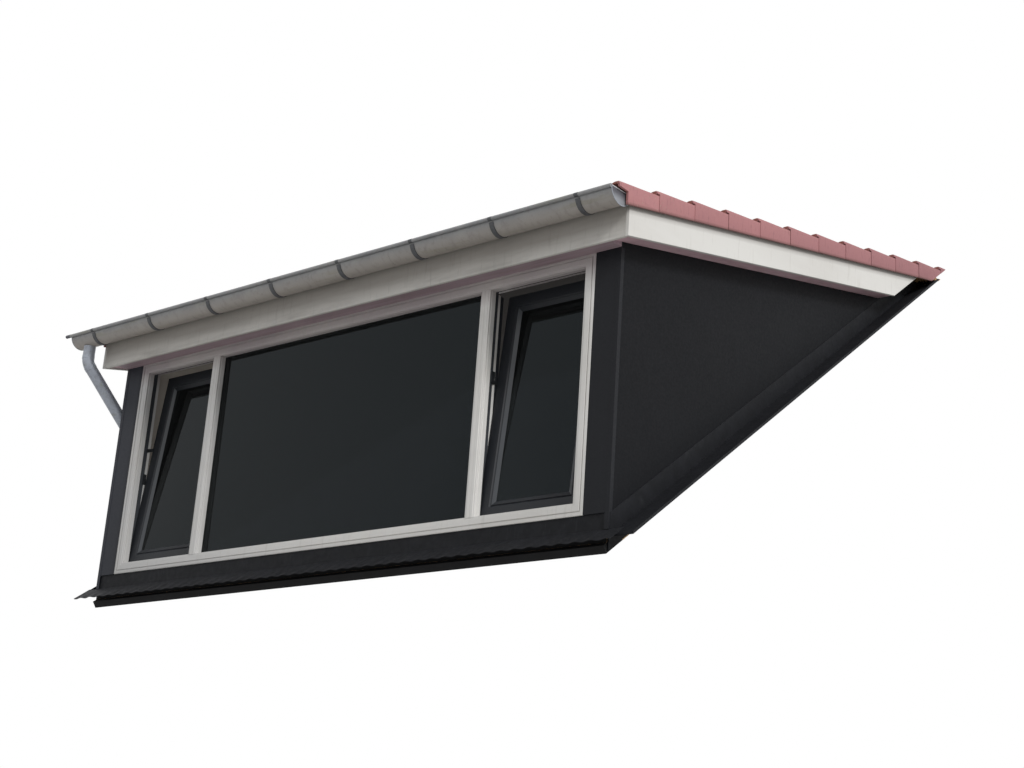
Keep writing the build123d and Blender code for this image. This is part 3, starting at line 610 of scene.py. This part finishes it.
def sashPieces():
    # profile: eased outer edge, flat face, then a wide glazing chamfer down to the glass, and the
    # same behind it; the bead lies on the chamfer with its lip over the glass
    z = sashSizes
    t, r, e, lip, back = z["thick"], z["rail"], z["ease"], z["lip"], z["backLip"]
    glassAt, slope, rear = (t - glassSizes["unit"]) / 2, r - z["chamfer"], r - z["backChamfer"]
    profile = [(0, t - back), (0, e), (0.8, 0.8), (e, 0), (slope - lip, 0), (slope, 0.8), (slope + 1.5, lip),
               (r - lip, glassAt - 1.5), (r, glassAt - 0.5), (r, t - glassAt + 0.5),
               (r - back, t - glassAt + lip), (rear + back, t - 0.8), (rear, t), (back, t)]
    bead = [(r - 13, 7.2), (r - 11, 5.6), (r + 9, glassAt - 3.4), (r + 11, glassAt - 1.6),
            (r + 11, glassAt - 0.3), (r + 0.4, glassAt - 0.3)]
    low = z["gap"] / 2
    high = low + lightHigh - lightLow + 2 * window["rebate"] - 2 * z["gap"]
    inset = r + z["glassInset"]
    for side, word in ((-1, "left"), (1, "right")):
        a, b = bothWays(side, mullionOut - window["rebate"] + z["gap"], jambIn + window["rebate"] - z["gap"])
        addPiece(word + "SashFrame", *ringSurface((a, low), (b, high), profile, onSash), "anthraciteFoil",
                 "anthracite_sash", (word + "_sash",), smooth=25)
        sealedUnit(word + "Sash", "sash_glass", (a + inset, low + inset), (b - inset, high - inset), glassAt,
                   onSash)
        # the upright beads take the paler grey, a painted highlight
        piece = addPiece(word + "GlazingBead", *ringSurface((a, low), (b, high), bead, onSash), "greyBead",
                         "anthracite_sash", smooth=25)
        piece.data.materials.append(looks["anthraciteFoil"])  # the cross beads are in the sash's foil
        crossBeads = np.repeat([1, 0, 1, 0], len(bead)).astype(np.int32)
        piece.data.polygons.foreach_set("material_index", crossBeads)


sashPieces()

# a grey seal lines the side lights' rebates, and a round gasket lies inside every light's edge, at
# (inward, out) from it
sealSizes = {"behind": 0.5, "proud": 1.2, "sunk": 0.2, "end": 94.0}
gasketSizes = {"radius": 2.0, "centre": (1.4, -1.6), "side": (0.6, 1.6)}


def sealPieces():
    # thin rings round the rebates and round beads round the glass
    rebate, reveal = window["rebate"], window["reveal"]
    near, far = reveal + sealSizes["behind"], sealSizes["end"]
    section = [(-sealSizes["sunk"], near), (sealSizes["proud"], near), (sealSizes["proud"], far),
               (-sealSizes["sunk"], far)]
    inward, out = gasketSizes["centre"]
    liners, gaskets = [], [roundRing((-mullionIn, lightLow), (mullionIn, lightHigh), inward, reveal + out,
                                     gasketSizes["radius"], onFront)]
    inward, out = gasketSizes["side"]
    for side in (-1, 1):
        a, b = bothWays(side, mullionOut - rebate, jambIn + rebate)
        liners.append(ringSurface((a, lightLow - rebate), (b, lightHigh + rebate), section, onFront))
        a, b = bothWays(side, mullionOut, jambIn)
        gaskets.append(roundRing((a, lightLow), (b, lightHigh), inward, reveal + out, gasketSizes["radius"],
                                 onFront))
    addPiece("rebateLiners", *mergeShells(*liners), "greyBead", "anthracite_sash")
    addPiece("frameGaskets", *mergeShells(*gaskets), "gasketRubber", "white_frame")


sealPieces()
print("window dressed")


# clay tiles: two rolls a tile, each course leaning on the one below
tileSizes = {
    "gauge": 346.0, "length": 420.0, "plane": 213.5, "courses": 12, "columns": 21, "half": 2032.0,
    "firstNose": -209.77, "roll": 15.0, "rollPower": 0.7, "sunk": 7.5, "thick": 10.0, "lip": 4.0,
    "nose": 20.0, "noseDepth": 26.0, "round": 6.0, "roundDrop": 5.0, "tuck": 50.0, "slip": 0.8, "shift": 0.5,
    "lipAt": -0.01, "lipWidth": 0.055, "toneSpread": (1.6, 2.2),
}
# where a tile's points lie across it, as shares of its cover; its lip lies over its neighbour
rollShares = np.array([-0.05, 0.035, 0.11, 0.25, 0.39, 0.465, 0.535, 0.61, 0.75, 0.89, 0.995])


def onTile(start, along, rise):
    # places on a leaning tile: along it from its nose and above its top plane, which sinks by
    # along tan tilt
    return onRoof(start + along, tileSizes["plane"] - along * math.tan(slopes["tile"]) + rise)


def rollHeight(turns, fromLip, lipWidth):
    # roll (|sin(2 pi turns)| ^ power - 1), plus a lip of e ^ -(fromLip / lipWidth) ^ 2
    wave = tileSizes["roll"] * (np.abs(np.sin(2 * math.pi * turns)) ** tileSizes["rollPower"] - 1)
    return wave + tileSizes["lip"] * np.exp(-(fromLip / lipWidth) ** 2)


def cutAlongHouse(points, faces, rise, marks):
    # the part of a mesh above a plane over the house roof, with the cut closed and the points marked
    mesh = bpy.data.meshes.new("cut")
    mesh.from_pydata((points * mm).tolist(), [], faces)
    for word, values in marks.items():
        layer = mesh.attributes.new(word, "FLOAT", "POINT")
        layer.data.foreach_set("value", np.asarray(values, np.float32))
    shell = bmesh.new()
    shell.from_mesh(mesh)
    normal = Vector((0, -math.sin(slopes["house"]), math.cos(slopes["house"])))
    cut = bmesh.ops.bisect_plane(shell, geom=shell.verts[:] + shell.edges[:] + shell.faces[:],
                                 plane_co=normal * rise * mm, plane_no=normal, clear_inner=True)
    rims = [g for g in cut["geom_cut"] if isinstance(g, bmesh.types.BMEdge)]
    bmesh.ops.holes_fill(shell, edges=rims)
    shell.to_mesh(mesh)
    shell.free()
    return mesh


def fieldTiles():
    # a tile is a grid: its rolls run across it, and each column of points is carried round its
    # section from the nose's top along to the head, down, and back under to the nose's foot
    z = tileSizes
    cover = 2 * z["half"] / z["columns"]
    wave = rollHeight(rollShares, rollShares - z["lipAt"], z["lipWidth"]) - z["sunk"]
    along = np.array([0.0, z["round"], z["length"], z["length"], z["noseDepth"], 0.0])
    below = np.array([z["roundDrop"], 0.0, 0.0, z["thick"], z["thick"], z["nose"]])
    rows, columns = len(along), len(rollShares)
    rise = wave[None, :] - below[:, None]
    starts = z["firstNose"] + z["gauge"] * np.arange(z["courses"])
    edges = -z["half"] + cover * np.arange(z["columns"])
    slip = rng.normal(0, z["slip"], (z["courses"], z["columns"], 1, 1))
    x = edges[None, :, None, None] + rollShares * cover + rng.normal(0, z["shift"], slip.shape)
    y, h = onTile(starts[:, None, None, None] + slip, along[:, None], rise)
    points = stacked(x, y, h).reshape(-1, rows * columns, 3)
    leftEnd = [i * columns for i in range(rows)]
    rightEnd = [i + columns - 1 for i in leftEnd[::-1]]
    points, faces = manyShells(points, gridFaces(rows, columns, True, False), (leftEnd, rightEnd))
    tone = np.repeat(rng.beta(*z["toneSpread"], z["courses"] * z["columns"]), rows * columns)
    mesh = cutAlongHouse(points, faces, z["tuck"], {"tone": tone})
    finishPiece("clayTiles", mesh, "firedClay", ("roof_tiles",), smooth=50)


vergeSizes = {
    "edge": 2247.0, "flange": 14.0, "foot": 92.0, "footEase": 3.0, "shoulder": 16.0, "innerBend": (6.0, 8.0),
    "back": 24.0, "seam": 1.2, "hang": 13.4, "lap": 8.0, "rollWidth": 150.0, "flat": (52.0, 36.0),
    "flatDrop": (4.0, 0.0), "lipWidth": 0.08, "tuck": 100.0, "notch": {"right": 82.0, "left": 136.0},
    "notchTop": 1819.0, "slip": 0.8, "dip": {"nose": 4.0, "round": 0.5}, "ease": {"nose": 2.0, "head": 3.0},
    "toneFoot": 0.08, "toneStep": 0.05, "toneSpread": (-0.05, 0.15),
}


def vergeSection():
    # x and height of points across a verge tile, the outer ones and then the inner ones backwards:
    # a lip and one roll, a flat, the shoulder x = edge - r + r sin t, h = r cos t - r, and the flange
    z, v = tileSizes, vergeSizes
    edge, inner, r, deep = v["edge"], v["edge"] - v["flange"], v["shoulder"], z["thick"]
    s, t = np.linspace(0, 1, 9), np.linspace(0, math.pi / 2, 6)
    rollX = z["half"] - v["lap"] + s * v["rollWidth"]
    rollX = np.concatenate([rollX, edge - np.array(v["flat"])])
    rollH = np.concatenate([rollHeight(s / 2, s, v["lipWidth"]), -np.array(v["flatDrop"])])
    bendX, bendH = v["innerBend"]
    down, level = [0] * 4, np.zeros(3)
    outerX = np.concatenate([rollX, edge - r + r * np.sin(t), edge + level, [edge - v["footEase"]]])
    outerH = np.concatenate([rollH, r * np.cos(t) - r, down])
    innerX = np.concatenate([rollX, inner - bendX + bendX * np.sin(t), inner + level,
                             [inner + v["footEase"]]])
    innerH = np.concatenate([rollH - deep, -deep - bendH * np.sin(t), down])
    return np.concatenate([outerX, innerX[::-1]]), np.concatenate([outerH, innerH[::-1]])


def vergeTiles(side, word):
    # the section stands at four stations along each tile: nose, rounding, the flange's start and
    # head; the flange goes down to one line along the roof, and its ends stand plumb
    z, v = tileSizes, vergeSizes
    edge, inner = v["edge"], v["edge"] - v["flange"]
    x, h = vergeSection()
    n = len(x)
    half = n // 2
    order = np.concatenate([np.arange(half), np.arange(half)[::-1]])
    brow, flange = order == half - 4, order > half - 4  # nose's lower edge; the flange below it
    foot = v["foot"] + np.where(order == half - 1, 0.0, v["footEase"])
    edgeward = x > inner - 7  # the shoulder and the flange
    belly = (np.arange(n) >= half) & (order < half - 4)  # underside of the roll and the flat
    plumb = math.tan(slopes["dormer"])
    headEnd = z["gauge"] + v["back"] - v["seam"]
    stations = [("nose", 0.0), ("round", z["round"]), ("back", v["back"]), ("head", z["length"])]
    cap = [[i, i + 1, n - 2 - i, n - 1 - i] for i in range(half - 1)]
    faces = gridFaces(len(stations), n, False, True).tolist()
    faces += cap + [[i + (len(stations) - 1) * n for i in quad[::-1]] for quad in cap]
    shells, tones = [], []
    for course in range(z["courses"]):
        start = z["firstNose"] + z["gauge"] * course
        slip = rng.normal(0, v["slip"])
        flangeStart = v["back"] if course else max(v["back"], v["notch"][word])
        rows = []
        for station, place in stations:
            if station == "head":
                along = np.where(edgeward | flange | brow, headEnd, place)
            else:
                along = np.where(flange, flangeStart + (z["round"] if station == "back" else 0.0), place)
            top = z["plane"] - along * math.tan(slopes["tile"])
            dip = v["dip"].get(station, 0.0) * (order < half - 5)
            level = top + h - dip
            if course and station in ("nose", "round"):  # the nose hangs down to the tile below
                level = level - v["hang"] * belly
            under = top - z["nose"]
            if not course:  # cut level, just over the gutter's rim
                overRim = v["notchTop"] - roofSeat - (start + along) * math.sin(slopes["dormer"])
                under = overRim / math.cos(slopes["dormer"])
            level = np.where(brow, under, np.where(order == half - 3, under - 1.0, level))
            level = np.where(order > half - 3, foot, level)
            leans = flange | (edgeward & (station == "head"))
            along = along + np.where(leans, (level - z["plane"]) * plumb, 0)
            y, height = onRoof(start + slip + along, level)
            ease = v["ease"].get(station, 0.0) * (x > edge - 2)
            rows.append(stacked(side * (x - ease), y, height))
        shells.append((np.concatenate(rows), faces))
        tone = v["toneFoot"] + v["toneStep"] * course + rng.uniform(*v["toneSpread"])
        tones.append(np.full(len(rows) * n, tone))
    points, faces = mergeShells(*shells)
    skyward = np.tile(np.clip((edge - x) / v["shoulder"], 0, 1) ** 2, len(points) // n)
    marks = {"tone": np.concatenate(tones), "skyward": skyward}
    mesh = cutAlongHouse(points, faces, v["tuck"], marks)
    nodes = (word + "_verge_tiles", "eaves_verge_tiles")
    finishPiece(word + "VergeTiles", mesh, "paleClay", nodes, smooth=50)


fieldTiles()
vergeTiles(1, "right")
vergeTiles(-1, "left")
print("tiles laid:", tileSizes["courses"] * (tileSizes["columns"] + 2))


# gutter: a rolled trough in two lengths, with a soldered sleeve, rimmed ends and straps
gutterSizes = {
    "y": -273.0, "rim": 1814.67, "radius": 75.0, "wall": 2.0, "bead": 11.5, "roll": 10.6, "sink": 2.5,
    "left": -2403.0, "joint": 600.0, "right": 2221.0, "leftCap": 78.5, "rightCap": 85.0, "reach": 45.0,
    "rollArc": (-35, -330), "sleeve": 34.0, "sleeveSkin": (-0.5, 1.4), "sleeveArc": (-2, -172),
    "clipFirst": -2155.0, "clipStep": 593.0, "clips": 8, "clipWidth": 26.0, "clipArc": (118, 318),
    "clipSkin": (10.4, 11.45), "rimWire": 2.0, "rimInset": 1.8, "rimHalf": 72.0, "rimBelow": 1.6,
    "rimOut": 1.2, "edgeWire": 3.0, "edgeBelow": 0.8,
}
troughAt = (gutterSizes["y"], gutterSizes["rim"])
beadAt = (troughAt[0] - gutterSizes["radius"] - gutterSizes["bead"], troughAt[1] - gutterSizes["sink"])


def arc(centre, radius, start, end, steps):
    # (y, z) points on a circle, from one angle to another: centre + radius (cos t, sin t)
    t = np.radians(np.linspace(start, end, steps))
    return np.stack([centre[0] + radius * np.cos(t), centre[1] + radius * np.sin(t)], -1)


def arcBand(centre, near, far, start, end, steps):
    # a curved strip's section: out at the far radius and back at the near one
    return np.concatenate([arc(centre, far, start, end, steps), arc(centre, near, end, start, steps)])


def troughSection():
    # outer half circle from back to front, round the rolled bead, and the inner half circle back
    g = gutterSizes
    return np.concatenate([arc(troughAt, g["radius"] + g["wall"], 0, -180, 25),
                           arc(beadAt, g["roll"], *g["rollArc"], 17),
                           arc(troughAt, g["radius"], -180, 0, 25)])


def endRim(x, radius):
    # a closed wire round an end plate: down the half circle and back straight along its top
    g = gutterSizes
    y, z = arc(troughAt, radius - g["rimInset"], 0, -180, 29).T
    top = np.linspace(g["y"] - g["rimHalf"], g["y"] + g["rimHalf"], 9)
    y, z = np.append(y, top), np.append(z, np.full(9, g["rim"] - g["rimBelow"]))
    return tubeAlong(stacked(x, y, z), g["rimWire"], 8, closed=True)


def gutterPieces():
    # straight bars of the trough's section, with bands round the joint and round the bead
    g = gutterSizes
    for word, start, end in (("left", g["left"], g["joint"]), ("right", g["joint"], g["right"])):
        addPiece(word + "Trough", *barSurface(troughSection(), start, end, alongX), "troughZinc", "zinc",
                 (word + "_gutter",))
    outer, half = g["radius"] + g["wall"], g["sleeve"] / 2
    near, far = g["sleeveSkin"]
    sleeve = arcBand(troughAt, outer + near, outer + far, *g["sleeveArc"], 25)
    addPiece("troughSleeve", *barSurface(sleeve, g["joint"] - half, g["joint"] + half, alongX),
             "troughZinc", "zinc")
    # each strap ends in a tongue that is folded round the bead
    tongue = arcBand(beadAt, *g["clipSkin"], *g["clipArc"], 15)
    middles, half = g["clipFirst"] + g["clipStep"] * np.arange(g["clips"]), g["clipWidth"] / 2
    clips = [barSurface(tongue, middle - half, middle + half, alongX) for middle in middles]
    addPiece("beadClips", *mergeShells(*clips), "galvanisedStrap", "zinc")
    # the bead runs on past the left end, tapered at its tip
    stub = stacked(np.linspace(g["left"] - g["reach"], g["left"] + 1, 4), *beadAt)
    rims = [tubeAlong(stub, g["bead"] - np.array([1.5, 0, 0, 0]), 20),
            endRim(g["left"] - 1.0, g["leftCap"]), endRim(g["right"] + g["rimOut"], g["rightCap"])]
    addPiece("gutterEndRims", *mergeShells(*rims), "weatheredZinc", "zinc")
    y = np.linspace(g["y"] - g["rightCap"] + 3, g["y"] + g["rightCap"] - 1, 9)
    edge = stacked(g["right"] + g["rimOut"], y, g["rim"] - g["edgeBelow"])
    addPiece("capTopEdge", *tubeAlong(edge, g["edgeWire"], 10), "rubbedZinc", "zinc")


gutterPieces()

# downpipe: down from the outlet, back past the corner, then down along the cheek
pipeSizes = {
    "x": -2285.0, "y": -273.0, "top": 1702.67, "bend": 1622.67, "cheekX": -2160.0, "back": 323.0,
    "slope": 52.7, "radius": 40.0, "wall": 2.0, "turn": 110.0, "foot": 112.0, "sides": 40,
    "collar": (13.0, 11.5), "collarSkin": (0.2, 1.6),
}


def overHouse(point, rise):
    # how far a point lies above the plane that is rise over the house roof, measured upright
    return point[..., 2] - rise / math.cos(slopes["house"]) - point[..., 1] * math.tan(slopes["house"])


def sinking(way):
    # how fast that falls along a direction
    return -way[2] + way[1] * math.tan(slopes["house"])


def pipePath():
    # straight runs joined by arcs of the bend radius: first + turn (sin t in + (1 - cos t) across),
    # where across is the part of the next direction that is square to the one before
    p = pipeSizes
    slope = math.radians(p["slope"])
    second = np.array([p["cheekX"], p["y"] + p["back"], p["bend"] - p["back"] * math.tan(slope)])
    down = np.array([0, math.cos(slope), -math.sin(slope)])
    last = second + down * overHouse(second, p["foot"]) / sinking(down)
    corners = [np.array([p["x"], p["y"], p["top"]]), np.array([p["x"], p["y"], p["bend"]]), second, last]
    path, collars = [corners[0]], []
    for here, corner, after in zip(corners, corners[1:], corners[2:]):
        inDir = (corner - here) / np.linalg.norm(corner - here)
        outDir = (after - corner) / np.linalg.norm(after - corner)
        angle = math.acos(np.clip(inDir @ outDir, -1, 1))
        reach = p["turn"] * math.tan(angle / 2)
        first = corner - inDir * reach
        across = outDir - inDir * (inDir @ outDir)
        across /= np.linalg.norm(across)
        t = np.linspace(0, angle, 13)[:, None]
        path += list(first + p["turn"] * (np.sin(t) * inDir + (1 - np.cos(t)) * across))
        collars += [(first, inDir), (corner + outDir * reach, outDir)]
    path.append(corners[-1])
    return np.array(path), collars, down


def pipePieces():
    # an outer and an inner tube, joined by rings at both ends, and a collar at each end of each bend
    p = pipeSizes
    path, collars, down = pipePath()
    n = p["sides"]
    outer, inner = (tubeAlong(path, r, n)[0] for r in (p["radius"], p["radius"] - p["wall"]))
    count = len(outer)
    wall = gridFaces(len(path), n, False, True)
    ring = np.arange(n)
    after = (ring + 1) % n
    rims = [np.stack([ring, after, after + count, ring + count], -1) + base for base in (0, count - n)]
    points = np.concatenate([outer, inner])
    foot = np.concatenate([np.arange(count - n, count), np.arange(2 * count - n, 2 * count)])
    points[foot] += overHouse(points[foot], p["foot"])[:, None] / sinking(down) * down
    faces = np.concatenate([wall, wall + count, *rims])
    addPiece("bentPipe", points, faces, "weatheredZinc", "zinc", ("downpipe",))
    end, land = p["collar"]
    low, high = p["collarSkin"]
    ends, radii = np.array([-end, -land, land, end]), p["radius"] + np.array([low, high, high, low])
    bands = [tubeAlong(place + way * ends[:, None], radii, n) for place, way in collars]
    addPiece("pipeCollars", *mergeShells(*bands), "weatheredZinc", "zinc")


pipePieces()
print("gutter and pipe dressed")


# lead: an apron dressed over the house tiles' rolls
apronSizes = {
    "half": 2181.0, "wallHalf": 2091.0, "behind": 7.0, "reach": 106.7, "plane": 100.5, "lie": 0.9,
    "lead": 2.4, "thin": 0.4, "wave": 5.0, "waveUp": 0.6, "waveOut": 0.25, "pitch": 96.8, "flat": 0.15,
    "tuck": 0.5, "stub": 1.5, "dent": 0.1, "dentWaves": (0.047, 0.113),
}


def leadApron():
    # down the upstand, then out along the house roof: the sheet waves as wave * sin(2 pi x / pitch),
    # which fades to flat at the wall, and the upstand is dented as sin(x / 21) sin(x / 9)
    a = apronSizes
    x = np.linspace(-a["half"], a["half"], 541)[:, None]
    wallY = window["front"] + a["behind"]
    t = np.linspace(0, 1, 9)
    y = wallY - a["reach"] * t
    fade = np.clip((t - a["flat"]) / (1 - a["flat"]), 0, 1) ** 1.5
    lift = a["wave"] * np.sin(2 * math.pi * x / a["pitch"]) * fade
    sheetZ = houseHeight(y, a["plane"]) + a["waveUp"] * lift + a["lie"]
    sheetY = y - a["waveOut"] * lift
    slow, fast = (np.sin(x * turn) for turn in a["dentWaves"])
    dent = a["dent"] * slow * fast
    rise = np.linspace(1, 0, 5)[:-1]
    upY = np.repeat(wallY + dent, len(rise), 1)
    base = sheetZ[:, :1]
    full = base + (window["sill"] - a["tuck"] - base) * rise
    upZ = np.where(np.abs(x) <= a["wallHalf"], full, base + a["stub"] * rise)  # a stub past the wall
    frontY, frontZ = np.concatenate([upY, sheetY], 1), np.concatenate([upZ, sheetZ], 1)
    onWall = np.arange(frontY.shape[1]) < len(rise)
    backY = frontY + np.where(onWall, a["lead"], a["thin"])
    backZ = frontZ - np.where(onWall, 0, a["lead"])
    loopY, loopZ = np.concatenate([frontY, backY[:, ::-1]], 1), np.concatenate([frontZ, backZ[:, ::-1]], 1)
    rows, columns = loopY.shape
    points = stacked(x, loopY, loopZ).reshape(-1, 3)
    faces = gridFaces(rows, columns, False, True).tolist() + endCaps(len(points), columns)
    addPiece("leadApron", points, faces, "dressedLead", "lead_sheet", ("apron_skirt", "apron_upstand"),
             smooth=50)


leadApron()
# felt over the wall's foot, seen from below between the apron and the sole plate; black, partly as painted
# shade under the apron
feltAndShadeSizes = {"half": 2080, "low": 10.3, "high": 82, "depth": (9.2, 9.9)}
feltAndShadeSlab = slabSurface((-feltAndShadeSizes["half"], feltAndShadeSizes["low"]), (feltAndShadeSizes["half"], feltAndShadeSizes["high"]),
                   *feltAndShadeSizes["depth"], onFront)
addPiece("wallFeltAndShade", *feltAndShadeSlab, "bitumenFelt", "lead_sheet")

# boards and panels: the CAD solids with eased edges, each with its finish, slot and bevel
boards = {
    "front_fascia": ("shadedBoard", "white_board", 2.0), "bargeboards": ("vergeBoard", "white_board", 2.0),
    "front_soffit": ("greyPinkPly", "soffit_board", 1.0), "side_soffits": ("palerGreyPinkPly", "soffit_board", 1.0),
    "corner_panels": ("cheekLaminate", "cheek_panel", 1.0),
    "cheek_cladding": ("shadedLaminate", "cheek_panel", 1.0),
}


def easedBoard(node, look, bevel):
    # the CAD solid with its flat faces rejoined, so that only its real edges are bevelled
    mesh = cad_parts[node].data.copy()
    shell = bmesh.new()
    shell.from_mesh(mesh)
    bmesh.ops.remove_doubles(shell, verts=shell.verts, dist=1e-5)
    bmesh.ops.dissolve_limit(shell, angle_limit=math.radians(0.6), verts=shell.verts, edges=shell.edges)
    shell.to_mesh(mesh)
    shell.free()
    mesh.materials.clear()
    finishPiece(node + "Board", mesh, look, (node,), 30, bevel)


for node, (look, slotName, bevel) in boards.items():
    easedBoard(node, look, bevel)

trimSizes = {"leg": 26.0, "proud": 1.6, "gap": 0.05, "edge": 2091.0, "foot": 104.0, "top": 1600.0}


def cornerTrims():
    # a folded angle up each front corner of the cheeks: its legs lie on the panel and the cladding
    t, front = trimSizes, window["front"]
    outer, inner, leg = t["edge"] + t["proud"], t["edge"] + t["gap"], t["edge"] - t["leg"]
    section = [(outer, front - t["proud"]), (outer, front + t["leg"]), (inner, front + t["leg"]),
               (inner, front - t["gap"]), (leg, front - t["gap"]), (leg, front - t["proud"])]
    shells = [barSurface([(side * a, b) for a, b in section], houseHeight(front, t["foot"]), t["top"], alongZ)
              for side in (-1, 1)]
    addPiece("cornerTrims", *mergeShells(*shells), "cheekLaminate", "cheek_panel", bevel=0.4)


cornerTrims()

# cover strips inside the mullions, and keeper plates in the rebates for the sash locks
coverSizes = {"half": 14.2, "gap": 0.2, "thick": 26.8}
keeperSizes = {"mullion": 1050.0, "jamb": 820.0, "half": 36.0, "thick": 2.2, "sunk": 0.2,
               "depth": (84.0, 112.0)}


def roomSideFittings():
    # slabs on the window: strips behind the mullions, and a plate on each side light's two uprights
    c, k = coverSizes, keeperSizes
    near = window["depth"] + c["gap"]
    covers, keepers = [], []
    for side in (-1, 1):
        x = side * window["mullionAt"]
        covers.append(slabSurface((x - c["half"], lightLow), (x + c["half"], lightHigh), near,
                                  near + c["thick"], onFront))
        for upright, way, at in ((mullionOut - window["rebate"], 1, k["mullion"]),
                                 (jambIn + window["rebate"], -1, k["jamb"])):
            a, b = bothWays(side, upright - k["sunk"] * way, upright + k["thick"] * way)
            keepers.append(slabSurface((a, at - k["half"]), (b, at + k["half"]), *k["depth"], onFront))
    addPiece("mullionCoverStrips", *mergeShells(*covers), "anthraciteFoil", "anthracite_sash", bevel=2.0)
    addPiece("keeperPlates", *mergeShells(*keepers), "blackedSteel", "hardware", bevel=0.8)


roomSideFittings()

# CAD nodes that keep their shape get their finishes
carried = {
    "softwood": ("rear_ledger", "roof_deck", "tile_battens", "front_wall"),
    # black felt on the sole plate and head beam, its black partly painted shade
    "bitumenFelt": ("front_sole_plate", "head_beam"),
    "steepSoftwood": ("side_sole_plates", "left_cheek_wall", "right_cheek_wall"),
    "slopingSoftwood": ("roof_rafters",), "emulsionAndShade": ("cheek_linings",),
    "walnutStain": ("ceiling_panel",), "whiteProfile": ("centre_beads",),
    "blackedSteel": ("sash_hinges", "sash_stays", "sash_handles"),
    "weatheredZinc": ("gutter_outlet", "pipe_clips"), "shadowedZinc": ("gutter_ends",),
    "galvanisedStrap": ("gutter_brackets",), "dressedLead": ("flashing_trays", "flashing_upstands"),
}
for look, names in carried.items():
    for node in names:
        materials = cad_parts[node].data.materials
        if not materials:
            materials.append(looks[look])
        for spot in range(len(materials)):
            materials[spot] = looks[look]
print("boards, trims and carried nodes finished")


# camera, floor and light
cameraPlace = {"at": (6.889, -6.430, -1.791), "right": (0.7687, 0.6361, 0.0657),
               "up": (0.150, -0.279, 0.9485), "lens": 57.35, "sensor": 36.0, "seesTo": 200.0}
studio = {"floor": -2.2, "floorReach": 40.0, "floorColour": 0xDAD9D6, "sky": 0.5, "skyColour": 0xF4F6FA,
          "sun": 2.2, "sunWay": (0.84, -0.22, 0.56), "sunAngle": 14.0}


def addCamera():
    # at the photograph's viewpoint, with its up direction made square to its right one
    right = Vector(cameraPlace["right"]).normalized()
    up = Vector(cameraPlace["up"])
    up = (up - right * up.dot(right)).normalized()
    lensData = bpy.data.cameras.new("photoCamera")
    lensData.lens, lensData.sensor_width = cameraPlace["lens"], cameraPlace["sensor"]
    lensData.clip_end = cameraPlace["seesTo"]
    camera = addToScene("photoCamera", lensData)
    turned = Matrix((right, up, right.cross(up))).transposed().to_4x4()
    camera.matrix_world = Matrix.Translation(Vector(cameraPlace["at"])) @ turned
    bpy.context.scene.camera = camera


def addSky():
    # white where the camera, a mirror or a clear pane looks straight at it, and a plain soft light
    # for everything else
    world = bpy.data.worlds.new("softStudio")
    bpy.context.scene.world = world
    world.use_nodes = True
    tree = world.node_tree
    tree.nodes.clear()
    plain = addNode(tree, "ShaderNodeBackground",
                    {"Color": linear(studio["skyColour"]), "Strength": studio["sky"]})
    white = addNode(tree, "ShaderNodeBackground", {"Color": (1, 1, 1, 1), "Strength": 1.0})
    rays = addNode(tree, "ShaderNodeLightPath").outputs
    share = rays["Is Camera Ray"]
    for kind in ("Is Glossy Ray", "Is Transmission Ray"):
        either = addNode(tree, "ShaderNodeMath", {"operation": "MAXIMUM"}, {0: share, 1: rays[kind]})
        share = either.outputs[0]
    seen = addNode(tree, "ShaderNodeMixShader", (), {0: share, 1: plain.outputs[0], 2: white.outputs[0]})
    addNode(tree, "ShaderNodeOutputWorld", (), {"Surface": seen.outputs[0]})


def addFloor():
    # one pale matt square below the dormer
    look = bpy.data.materials.new("paleFloor")
    look.use_nodes = True
    surface = look.node_tree.nodes["Principled BSDF"]
    surface.inputs["Base Color"].default_value = linear(studio["floorColour"])
    surface.inputs["Roughness"].default_value = 0.9
    mesh = bpy.data.meshes.new("studioFloor")
    r = studio["floorReach"]
    corners = [(x, y, studio["floor"]) for x, y in ((-r, -r), (r, -r), (r, r), (-r, r))]
    mesh.from_pydata(corners, [], [(0, 1, 2, 3)])
    mesh.materials.append(look)
    addToScene("studioFloor", mesh)


def addSun():
    # a wide soft sun; a lamp shines along its own -Z, so its Z points at where the light comes from
    sunData = bpy.data.lights.new("softSun", "SUN")
    sunData.energy, sunData.angle = studio["sun"], math.radians(studio["sunAngle"])
    sun = addToScene("softSun", sunData)
    sun.rotation_euler = Vector(studio["sunWay"]).to_track_quat("Z", "Y").to_euler()


addCamera()
addSky()
addFloor()
addSun()
bpy.context.scene.view_settings.view_transform = "Standard"
print("camera and light set")
